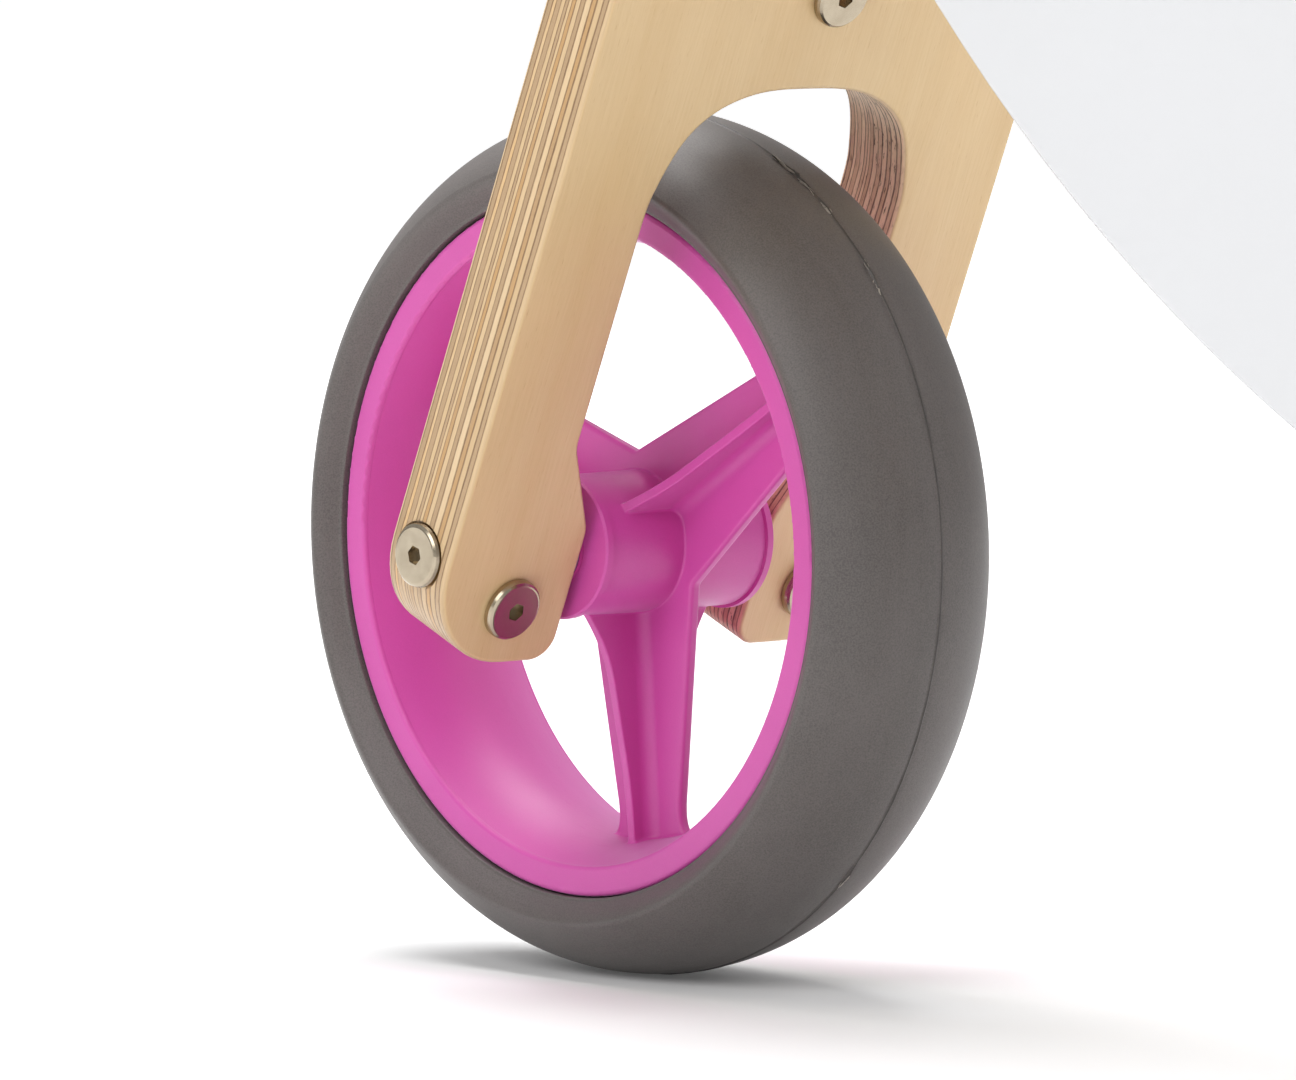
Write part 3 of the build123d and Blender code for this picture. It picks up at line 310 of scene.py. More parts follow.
def rubber(name, base=srgb(84, 79, 77), centre=None, scuff=0.5):
    m = Mat(name)
    p = m.coord()
    if centre is None:
        rel = p
        sweep = p
    else:
        rel = m.vmath("SUBTRACT", p, tuple(centre))
        x, y, z = m.xyz(rel)
        ang = m.math("ARCTAN2", z, x)
        rad = m.math("SQRT", m.math("ADD", m.math("MULTIPLY", x, x), m.math("MULTIPLY", z, z)))
        # coordinates that follow the tyre: round it, out from the axle, and across it
        sweep = m.vec(m.math("MULTIPLY", m.math("COSINE", ang), 0.55), m.math("MULTIPLY", m.math("SINE", ang), 0.55),
                      m.math("ADD", m.math("MULTIPLY", rad, 9.0), m.math("MULTIPLY", y, 26.0)))
    cloud = m.noise(rel, 30.0, 4.0, 0.6)
    sheen_streaks = m.noise(sweep, 4.2, 5.0, 0.62, 0.35)
    speck = m.noise(p, 2600.0, 2.0, 0.5)
    dust = m.noise(p, 480.0, 3.0, 0.65)
    col = m.mix(m.span(cloud, 0.3, 0.7), base, tuple(x * k for x, k in zip(base, (1.16, 1.16, 1.15))))
    # painted highlight: lighter streaks along the tyre stand in for its sheen; the same noise darkens it a little
    # between them and varies its roughness
    col = m.mix(m.span(sheen_streaks, 0.42, 0.72, 0.0, 0.60), col, tuple(x * k for x, k in zip(base, (1.42, 1.42, 1.46))))
    col = m.mix(m.span(sheen_streaks, 0.26, 0.42, 0.35, 0.0), col, tuple(x * 0.78 for x in base))
    col = m.mix(m.span(speck, 0.44, 0.64, 0.0, 0.38), col, tuple(x * 1.75 for x in base))
    col = m.mix(m.span(speck, 0.30, 0.46, 0.30, 0.0), col, tuple(x * 0.5 for x in base))
    col = m.mix(m.span(dust, 0.62, 0.76, 0.0, 0.07), col, srgb(150, 146, 138))
    if centre is not None:
        # the thin line where the mould's halves met
        stray = m.noise(m.vec(m.math("MULTIPLY", m.math("COSINE", ang), 9.0), m.math("MULTIPLY", m.math("SINE", ang), 9.0), 2.0), 1.0, 3.0, 0.6)
        off = m.math("ABSOLUTE", m.math("ADD", m.math("MULTIPLY", y, 1000.0), m.math("MULTIPLY", m.math("SUBTRACT", stray, 0.5), 0.3)))
        seam = m.math("MULTIPLY", m.span(off, 0.14, 0.52, 1.0, 0.0, smooth=True), m.span(rad, 0.0985, 0.0995))
        col = m.mix(m.math("MULTIPLY", seam, m.span(stray, 0.25, 0.6, 0.45, 0.9)), col, tuple(x * 0.30 for x in base))
    rough = m.math("ADD", 0.40, m.math("MULTIPLY", sheen_streaks, 0.18))
    height = m.math("ADD", m.math("MULTIPLY", speck, 0.55), m.math("MULTIPLY", dust, 0.45))
    m.shader(Base_Color=col, Roughness=rough, Normal=m.bump(height, 0.00005), IOR=1.50, Sheen_Weight=0.03,
             Sheen_Roughness=0.45)
    return m.m


def moulded(name, base, deep, centre):
    """Satin moulded plastic, slightly translucent."""
    m = Mat(name)
    p = m.coord()
    rel = m.vmath("SUBTRACT", p, tuple(centre))
    cloud = m.noise(rel, 22.0, 3.0, 0.5)
    peel = m.noise(p, 900.0, 2.0, 0.5)
    grain = m.noise(p, 3200.0, 1.0, 0.5)
    scratch = m.noise(m.vmath("MULTIPLY", p, (160.0, 900.0, 620.0)), 1.0, 3.0, 0.6)
    col = m.mix(m.span(cloud, 0.25, 0.75), base, deep)
    col = m.mix(m.span(grain, 0.35, 0.7, 0.0, 0.10), col, tuple(min(1.0, x * 1.25 + 0.02) for x in base))
    rough = m.math("ADD", 0.38, m.math("ADD", m.math("MULTIPLY", cloud, 0.10), m.span(scratch, 0.58, 0.75, 0.0, 0.10)))
    height = m.math("ADD", m.math("MULTIPLY", peel, 0.8), m.math("MULTIPLY", grain, 0.35))
    s = m.shader(Base_Color=col, Roughness=rough, Normal=m.bump(height, 0.00003), IOR=1.52,
                 Subsurface_Weight=0.10, Subsurface_Scale=0.002, Coat_Weight=0.35, Coat_Roughness=0.60,
                 Sheen_Weight=0.30, Sheen_Roughness=0.45, Sheen_Tint=(0.80, 0.78, 1.0))
    s.inputs["Subsurface Radius"].default_value = (1.0, 0.35, 0.8)
    return m.m


def turned_metal(name, base, rough, worn, grain=2400.0, speckle=0.25):
    m = Mat(name)
    p = m.coord()
    fine = m.noise(p, grain, 3.0, 0.6)
    lines = m.noise(m.vmath("MULTIPLY", p, (500.0, 500.0, 6000.0)), 1.0, 2.0, 0.5)
    cloud = m.noise(p, 260.0, 3.0, 0.55)
    spots = m.noise(p, 1100.0, 2.0, 0.5)
    col = m.mix(m.span(cloud, 0.3, 0.7), base, worn)
    col = m.mix(m.span(spots, 0.66, 0.74, 0.0, speckle), col, tuple(x * 0.45 for x in base))
    r = m.math("ADD", rough, m.math("ADD", m.math("MULTIPLY", cloud, 0.10), m.math("MULTIPLY", lines, 0.05)))
    m.shader(Base_Color=col, Metallic=1.0, Roughness=r, Normal=m.bump(m.math("ADD", fine, m.math("MULTIPLY", lines, 0.6)), 0.000002))
    return m.m


def beech(name, along, base=srgb(222, 184, 140), origin=(0.0, 0.0, 0.0)):
    """Clear-lacquered solid beech, with its short dark flecks."""
    m = Mat(name)
    p = m.vmath("SUBTRACT", m.coord(), origin)
    g = Vector(along).normalized()
    u = Vector((0, 0, 1)).cross(g) if abs(g.z) < 0.9 else Vector((1, 0, 0)).cross(g)
    u.normalize()
    v = g.cross(u)
    s = m.math("MULTIPLY", m.dot(p, tuple(g)), 1000.0)
    a = m.math("MULTIPLY", m.dot(p, tuple(u)), 1000.0)
    b = m.math("MULTIPLY", m.dot(p, tuple(v)), 1000.0)
    wob = m.math("MULTIPLY", m.noise(m.vec(m.math("MULTIPLY", s, 0.012), m.math("MULTIPLY", a, 0.03), m.math("MULTIPLY", b, 0.03)), 1.0, 2.0, 0.5), 5.0)
    ring = m.noise(m.vec(m.math("MULTIPLY", s, 0.004), m.math("MULTIPLY", m.math("ADD", a, wob), 0.30), m.math("MULTIPLY", b, 0.10)), 1.0, 3.0, 0.6)
    fibre = m.noise(m.vec(m.math("MULTIPLY", s, 0.06), m.math("MULTIPLY", a, 2.2), m.math("MULTIPLY", b, 2.2)), 1.0, 4.0, 0.6)
    cell = m.voronoi(m.vec(m.math("MULTIPLY", s, 0.42), m.math("MULTIPLY", m.math("ADD", a, b), 1.9), m.math("MULTIPLY", m.math("SUBTRACT", b, a), 1.9)), 1.0)
    fleck = m.span(cell.outputs["Distance"], 0.12, 0.24, 1.0, 0.0, smooth=True)
    end = m.math("ABSOLUTE", m.dot(m.normal(), tuple(g)))
    col = m.mix(m.span(ring, 0.35, 0.7), base, tuple(x * k for x, k in zip(base, (0.88, 0.80, 0.70))))
    col = m.mix(m.span(fibre, 0.42, 0.72, 0.0, 0.4), col, tuple(x * k for x, k in zip(base, (0.76, 0.64, 0.50))))
    col = m.mix(m.math("MULTIPLY", fleck, 0.55), col, srgb(150, 98, 58))
    col = m.mix(m.math("MULTIPLY", end, 0.45), col, tuple(x * k for x, k in zip(base, (0.62, 0.50, 0.38))))
    m.shader(Base_Color=col, Roughness=m.math("ADD", 0.36, m.math("MULTIPLY", fibre, 0.16)), IOR=1.48,
             Normal=m.bump(m.math("SUBTRACT", fibre, m.math("MULTIPLY", fleck, 0.5)), 0.00007),
             Coat_Weight=0.2, Coat_Roughness=0.2)
    return m.m


def lacquer(name, base, side_y=True):
    """White lacquer over birch board: the veneers show faintly through it at the edges."""
    m = Mat(name)
    p = m.coord()
    n = m.normal()
    x, y, z = m.xyz(p)
    peel = m.noise(p, 380.0, 3.0, 0.5)
    under = m.noise(m.vmath("MULTIPLY", p, (30.0, 60.0, 520.0)), 1.0, 3.0, 0.6)
    cloud = m.noise(p, 9.0, 3.0, 0.5)
    edge = m.span(m.math("ABSOLUTE", m.xyz(n)[1]), 0.35, 0.75, 1.0, 0.0, smooth=True)
    plies = m.math("SINE", m.math("MULTIPLY", m.math("SUBTRACT", m.math("ABSOLUTE", y), 0.036), 2 * math.pi / 0.00133))
    plies = m.math("MULTIPLY", m.span(plies, 0.35, 1.0), edge)
    speck = m.noise(p, 1500.0, 1.0, 0.5)
    col = m.mix(m.span(cloud, 0.3, 0.7), base, tuple(c * k for c, k in zip(base, (0.985, 0.985, 0.98))))
    col = m.mix(m.span(speck, 0.70, 0.78, 0.0, 0.10), col, tuple(c * 0.86 for c in base))
    col = m.mix(m.math("MULTIPLY", plies, 0.22), col, srgb(188, 180, 168))
    height = m.math("ADD", m.math("MULTIPLY", peel, 0.55), m.math("ADD", m.math("MULTIPLY", under, 0.45), m.math("MULTIPLY", plies, -1.1)))
    m.shader(Base_Color=col, Roughness=m.math("ADD", 0.34, m.math("MULTIPLY", peel, 0.08)), IOR=1.5,
             Normal=m.bump(height, 0.00005), Coat_Weight=0.25, Coat_Roughness=0.12)
    return m.m


def nylon(name, base):
    m = Mat(name)
    p = m.coord()
    c = m.noise(p, 160.0, 3.0, 0.5)
    g = m.noise(p, 2200.0, 2.0, 0.5)
    col = m.mix(m.span(c, 0.3, 0.7), base, tuple(x * 0.82 for x in base))
    m.shader(Base_Color=col, Roughness=m.math("ADD", 0.42, m.math("MULTIPLY", c, 0.12)), IOR=1.5,
             Normal=m.bump(g, 0.00002), Subsurface_Weight=0.08, Subsurface_Scale=0.001)
    return m.m


def grip_stuff(name, base):
    m = Mat(name)
    p = m.coord()
    c = m.noise(p, 60.0, 4.0, 0.6)
    g = m.noise(p, 2600.0, 2.0, 0.5)
    d = m.noise(p, 420.0, 3.0, 0.65)
    col = m.mix(m.span(c, 0.3, 0.7), base, tuple(x * 1.25 for x in base))
    col = m.mix(m.span(d, 0.60, 0.76, 0.0, 0.25), col, tuple(x * 1.9 for x in base))
    m.shader(Base_Color=col, Roughness=m.math("ADD", 0.48, m.math("MULTIPLY", c, 0.16)), IOR=1.5,
             Normal=m.bump(m.math("ADD", g, m.math("MULTIPLY", d, 0.5)), 0.00005), Sheen_Weight=0.06, Sheen_Roughness=0.4)
    return m.m


def leatherette(name, base):
    """Grained coated fabric on the seat."""
    m = Mat(name)
    p = m.coord()
    warp = m.noise(p, 190.0, 2.0, 0.5)
    v = m.voronoi(m.vmath("ADD", p, m.vmath("SCALE", m.vec(warp, warp, warp), scale=0.0016)), 620.0, "DISTANCE_TO_EDGE")
    pebble = m.span(v.outputs["Distance"], 0.02, 0.22, 0.0, 1.0, smooth=True)
    crease = m.noise(p, 55.0, 4.0, 0.65, 0.6)
    c = m.noise(p, 24.0, 3.0, 0.5)
    col = m.mix(m.span(c, 0.3, 0.7), base, tuple(x * 1.22 for x in base))
    col = m.mix(m.math("SUBTRACT", 1.0, pebble), col, tuple(x * 0.72 for x in base))
    col = m.mix(m.span(crease, 0.62, 0.80, 0.0, 0.3), col, tuple(x * 1.5 for x in base))
    height = m.math("ADD", m.math("MULTIPLY", pebble, 1.0), m.math("MULTIPLY", crease, 1.2))
    m.shader(Base_Color=col, Roughness=m.math("ADD", 0.46, m.math("MULTIPLY", crease, 0.14)), IOR=1.48,
             Normal=m.bump(height, 0.00010), Sheen_Weight=0.08, Sheen_Roughness=0.4)
    return m.m


def thread(name, base):
    m = Mat(name)
    p = m.coord()
    w = m.noise(m.vmath("MULTIPLY", p, (2600.0, 2600.0, 900.0)), 1.0, 2.0, 0.6)
    col = m.mix(w, tuple(x * 0.75 for x in base), base)
    m.shader(Base_Color=col, Roughness=0.7, Normal=m.bump(w, 0.00008), Sheen_Weight=0.2, Sheen_Roughness=0.5)
    return m.m


M = {}
M["fork_ply"] = plywood("birch_fork", FRONT, FORK_F, FORK_S, 21.0, PLY_LINES, burnt=True, flip=True)
M["pink_front"] = moulded("rim_front", srgb(206, 74, 166), srgb(197, 66, 157), FRONT)
M["pink_rear"] = moulded("rim_rear", srgb(206, 74, 166), srgb(197, 66, 157), REAR)
M["tyre_front"] = rubber("tyre_front", centre=FRONT)
M["tyre_rear"] = rubber("tyre_rear", centre=REAR)
M["nickel"] = turned_metal("nickel", srgb(180, 168, 148), 0.15, srgb(166, 154, 134), 2400.0, 0.06)
M["zinc"] = turned_metal("zinc_steel", srgb(178, 184, 190), 0.30, srgb(156, 162, 168), 900.0, 0.35)
M["brass"] = turned_metal("insert_brass", srgb(206, 176, 110), 0.28, srgb(182, 148, 86), 1400.0, 0.3)
M["white"] = lacquer("white_lacquer", srgb(213, 214, 216))
M["bush"] = nylon("bush_plastic", srgb(196, 62, 146))
M["grip"] = grip_stuff("grip_rubber", srgb(84, 81, 77))
M["seat"] = leatherette("seat_cover", srgb(88, 85, 81))
M["thread"] = thread("seam_thread", srgb(176, 172, 164))
M["beech_bar"] = beech("beech_bar", AXIS_Y, origin=(0.10, 0.0, 0.386))
M["beech_rail"] = beech("beech_rail", AXIS_Y, origin=(-0.05, 0.013, 0.2))
M["beech_block"] = beech("beech_block", FORK_S, origin=(0.12, 0.004, 0.28))
M["beech_spreader"] = beech("beech_spreader", AXIS_Y, origin=(0.0, 0.0, 0.15))


def dress(names, mat):
    for name in names:
        o = nodes[name]
        if not o.material_slots:
            o.data.materials.append(mat)
        for sl in o.material_slots:
            sl.material = mat


dress(["fork_plate", "stem_board"], M["fork_ply"])
dress(["seat_base"], plywood("birch_seat", (0, 0, 0.25752), (0, 0, 1), (1, 0, 0), 12.0,
                             [8.5, 17, 25, 33, 41, 49, 57, 64]))
dress(["front_rim"], M["pink_front"])
dress(["rear_rim"], M["pink_rear"])
dress(["front_axle_bolts", "fork_face_bolts", "fork_face_nuts", "stem_bolts", "stem_nuts", "bracket_bolts", "frame_bolts",
       "rear_axle_bolts"], M["nickel"])
dress(["front_axle_sleeve", "front_axle_washers", "hinge_bracket_lower", "hinge_bracket_upper", "steering_pin",
       "steering_pin_washer", "steering_lock_nut", "rear_axle_sleeve", "rear_axle_washers", "seat_screws"], M["zinc"])
dress(["insert_nuts"], M["brass"])
dress(["side_panel_left", "side_panel_right"], M["white"])
dress(["front_hub_bushes", "rear_hub_bushes", "head_bushes", "rear_spacers"], M["bush"])
dress(["handlebar"], M["beech_bar"])
dress(["head_block"], M["beech_block"])
dress(["seat_rail_front", "seat_rail_rear"], M["beech_rail"])
dress(["frame_spreader"], M["beech_spreader"])
dress(["grip_left", "grip_right"], M["grip"])
dress(["front_tyre"], M["tyre_front"])
dress(["rear_tyre"], M["tyre_rear"])
dress(["seat_pad"], M["seat"])


# ------------------------------------------------------------------ mesh helpers
def mesh_object(name, verts, faces, mat, smooth=True):
    me = bpy.data.meshes.new(name)
    me.from_pydata([tuple(v) for v in verts], [], [tuple(f) for f in faces])
    me.update()
    if smooth:
        me.polygons.foreach_set("use_smooth", [True] * len(me.polygons))
    o = bpy.data.objects.new(name, me)
    bpy.context.scene.collection.objects.link(o)
    o.data.materials.append(mat)
    return o


# ------------------------------------------------------------------ tyres
def smooth_points(pts, parts):
    """Points along a smooth curve through pts."""
    out = []
    for i in range(len(pts) - 1):
        p0, p1, p2, p3 = pts[max(i - 1, 0)], pts[i], pts[i + 1], pts[min(i + 2, len(pts) - 1)]
        for j in range(parts):
            t = j / parts
            out.append(tuple(0.5 * (2 * b + (c - a) * t + (2 * a - 5 * b + 4 * c - d) * t * t + (3 * b - a - 3 * c + d) * t ** 3)
                             for a, b, c, d in zip(p0, p1, p2, p3)))
    out.append(tuple(pts[-1]))
    return out


def tyre_profile():
    """Closed section of a tyre, (across, out from the axle) in mm, from one bead over the tread to the other."""
    half, height, r0, n = 31.2, 29.1, 101.5 - 29.1, 2.13

    def crown(x):
        return x, r0 + height * (1 - (x / half) ** n) ** (1 / n)

    a_low = half * (1 - ((89.0 - r0) / height) ** n) ** (1 / n)
    a = [a_low * math.sin((1 - i / 39.0) * math.pi / 2) for i in range(40)]
    right = [crown(x) for x in a if x > 1.35] + [crown(x) for x in (1.0, 0.72, 0.5, 0.34, 0.22, 0.12, 0.0)]
    wall = smooth_points([(22.7, 82.9), (24.1, 84.4), (25.6, 86.1), (26.6, 87.8), right[0]], 4)[:-1]
    lip = [(22.2, 82.3), (22.5, 82.38), (22.65, 82.6)]
    inner = [(0.0, 77.0), (9.0, 77.0), (17.6, 77.0), (18.2, 77.3), (18.3, 80.0), (18.3, 82.2), (18.6, 82.3), (20.4, 82.3)]
    r_half = inner + lip + wall + right             # bore to crown, +a side
    l_half = [(-x, r) for x, r in reversed(r_half)][1:-1]
    return r_half + l_half


def make_tyre(name, centre, mat, phase, tears, seed):
    prof = tyre_profile()
    steps = 720
    rnd = random.Random(seed)
    verts, faces = [], []
    for j in range(steps):
        t = 2 * math.pi * j / steps
        w = Vector((math.cos(t) * 2.2, math.sin(t) * 2.2, seed * 0.7))
        wander = mnoise.noise(w * 1.3) * 0.30 + mnoise.noise(w * 7.0) * 0.10
        ridge = 0.30 + 0.12 * mnoise.noise(w * 5.0 + Vector((9, 0, 0))) + 0.06 * mnoise.noise(w * 25.0)
        step = 0.07 + 0.04 * mnoise.noise(w * 1.1 + Vector((0, 5, 0)))
        push = 0.0
        for at, size, length in tears:
            d = math.degrees((t - math.radians(at) + math.pi) % (2 * math.pi) - math.pi)
            k = max(0.0, 1 - abs(d) / length)
            if k > 0:
                rough = 0.55 + 0.9 * abs(mnoise.noise(w * 60.0))
                ridge += size * k * rough
                push += size * 0.9 * k * mnoise.noise(w * 38.0)
        for a, r in prof:
            if r > 99 and abs(a) < 6:
                k = math.exp(-((a) / 0.24) ** 2) - 0.30 * math.exp(-((abs(a) - 0.60) / 0.22) ** 2)
                side = 1 / (1 + math.exp(-a / 0.10))
                fade = max(0.0, 1 - abs(a) / 6.0)
                r = r + ridge * k * 0.95 - step * (1 - side) * fade
                a = a + (wander + push * max(k, 0.0)) * max(0.0, 1 - abs(a) / 3.0)
            bow = 0.05 * mnoise.noise(w * 0.9 + Vector((a * 0.04, 3.0, 0.0)))
            r += bow if r > 84 else 0.0
            verts.append((centre.x + math.cos(t) * r * MM, centre.y + a * MM, centre.z + math.sin(t) * r * MM))
    k = len(prof)
    for j in range(steps):
        jn = (j + 1) % steps
        for i in range(k):
            i2 = (i + 1) % k
            faces.append((j * k + i, j * k + i2, jn * k + i2, jn * k + i))
    o = mesh_object(name, verts, faces, mat)
    bm = bmesh.new()
    bm.from_mesh(o.data)
    bmesh.ops.recalc_face_normals(bm, faces=bm.faces)
    bm.to_mesh(o.data)
    bm.free()
    return o


TEARS_FRONT = [(121.5, 0.80, 4.6), (128.0, 0.35, 2.2), (140.0, 0.45, 2.6), (226.0, 0.5, 2.4), (12.0, 0.4, 2.0), (64.0, 0.3, 1.6), (300.0, 0.5, 3.0)]
TEARS_REAR = [(30.0, 0.5, 2.5), (102.0, 0.35, 2.0), (171.0, 0.6, 3.6), (263.0, 0.4, 2.0)]
def flash(name, centre, mat, tears, seed):
    """Thin rags of rubber left standing where the mould's halves met."""
    rnd = random.Random(seed)
    verts, faces = [], []
    for at, size, length in tears:
        count = int(3 + length * 1.6)
        for n in range(count):
            t0 = math.radians(at + rnd.uniform(-length, length))
            run = math.radians(rnd.uniform(1.6, 4.2) if size > 0.7 else rnd.uniform(0.9, 2.4))
            base_a = rnd.uniform(-0.35, 0.35)
            lean = (1 if size > 0.7 else rnd.choice((-1, 1))) * rnd.uniform(0.3, 1.1)
            tall = size * rnd.uniform(0.5, 1.5)
            start = len(verts)
            cuts = 9
            for i in range(cuts):
                u = i / (cuts - 1)
                t = t0 + (u - 0.5) * run
                h = tall * max(math.sin(math.pi * u), 0.0) ** 0.7 * (0.85 + 0.5 * mnoise.noise(Vector((u * 3.0, n * 1.7, seed)))) + 0.02
                a = base_a + 0.25 * math.sin(u * 5 + n)
                for rr, aa in ((101.30, a - 0.11), (101.42 + h * 0.55, a - 0.05 + lean * h * 0.6), (101.42 + h * 0.72, a + lean * h * 1.15),
                               (101.42 + h * 0.50, a + 0.08 + lean * h * 0.7), (101.30, a + 0.13)):
                    verts.append((centre.x + math.cos(t) * rr * MM, centre.y + aa * MM, centre.z + math.sin(t) * rr * MM))
            for i in range(cuts - 1):
                for j in range(5):
                    j2 = (j + 1) % 5
                    faces.append((start + i * 5 + j, start + i * 5 + j2, start + (i + 1) * 5 + j2, start + (i + 1) * 5 + j))
            faces.append(tuple(start + j for j in reversed(range(5))))
            faces.append(tuple(start + (cuts - 1) * 5 + j for j in range(5)))
    o = mesh_object(name, verts, faces, mat)
    bm = bmesh.new()
    bm.from_mesh(o.data)
    bmesh.ops.recalc_face_normals(bm, faces=bm.faces)
    bm.to_mesh(o.data)
    bm.free()
    return o


M["flash"] = rubber("torn_rubber", srgb(143, 136, 127))
tyre_f = make_tyre("tyre_front_moulded", FRONT, M["tyre_front"], 0.0, TEARS_FRONT, 3)
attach(tyre_f, "front_wheel")
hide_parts("front_tyre")
tyre_r = make_tyre("tyre_rear_moulded", REAR, M["tyre_rear"], 0.0, TEARS_REAR, 8)
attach(tyre_r, "rear_wheel")
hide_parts("rear_tyre")


rags = [(t, min(s, 0.95), k) for t, s, k in TEARS_FRONT]
flash_f = flash("tyre_front_flash", FRONT, M["flash"], rags, 41)
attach(flash_f, "front_wheel")
flash_r = flash("tyre_rear_flash", REAR, M["flash"], [(t, s * 0.9, k) for t, s, k in TEARS_REAR], 43)
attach(flash_r, "rear_wheel")


# ------------------------------------------------------------------ seat cushion
def world_copy(node, name):
    """A free copy of a node's mesh, in the row frame."""
    me = node.data.copy()
    me.transform(node.matrix_world)
    o = bpy.data.objects.new(name, me)
    bpy.context.scene.collection.objects.link(o)
    me.materials.clear()
    return o


def settle(o):
    """Applies what o's modifiers do to its mesh."""
    deps = bpy.context.evaluated_depsgraph_get()
    me = bpy.data.meshes.new_from_object(o.evaluated_get(deps), depsgraph=deps)
    o.modifiers.clear()
    o.data = me


def tube(name, loop, radius, mat, sides=10, z_scale=1.0):
    """A closed cord along a loop of points lying level."""
    verts, faces = [], []
    k = len(loop)
    for i, p in enumerate(loop):
        t = (loop[(i + 1) % k] - loop[i - 1]).normalized()
        out = Vector((t.y, -t.x, 0.0)).normalized()
        for j in range(sides):
            w = 2 * math.pi * j / sides
            verts.append(p + out * (math.cos(w) * radius) + Vector((0, 0, math.sin(w) * radius * z_scale)))
    for i in range(k):
        i2 = (i + 1) % k
        for j in range(sides):
            j2 = (j + 1) % sides
            faces.append((i * sides + j, i2 * sides + j, i2 * sides + j2, i * sides + j2))
    return mesh_object(name, verts, faces, mat)


def outline_at(me, z):
    """The loop in which a level plane cuts a mesh, evenly spaced."""
    bm = bmesh.new()
    bm.from_mesh(me)
    cut = bmesh.ops.bisect_plane(bm, geom=bm.verts[:] + bm.edges[:] + bm.faces[:], plane_co=(0, 0, z), plane_no=(0, 0, 1))
    pts = [v.co.copy() for v in cut["geom_cut"] if isinstance(v, bmesh.types.BMVert)]
    bm.free()
    mid = sum(pts, Vector()) / len(pts)
    pts.sort(key=lambda p: math.atan2(p.y - mid.y, p.x - mid.x))
    ring = [Vector((p.x, p.y, z)) for p in pts]
    steps = [0.0]
    for i in range(len(ring)):
        steps.append(steps[-1] + (ring[(i + 1) % len(ring)] - ring[i]).length)
    count = 260
    out = []
    i = 0
    for n in range(count):
        d = steps[-1] * n / count
        while steps[i + 1] < d:
            i += 1
        f = (d - steps[i]) / max(steps[i + 1] - steps[i], 1e-9)
        out.append(ring[i].lerp(ring[(i + 1) % len(ring)], f))
    for _ in range(2):
        out = [(out[n - 1] + out[n] * 2 + out[(n + 1) % count]) / 4 for n in range(count)]
    return out, steps[-1], mid


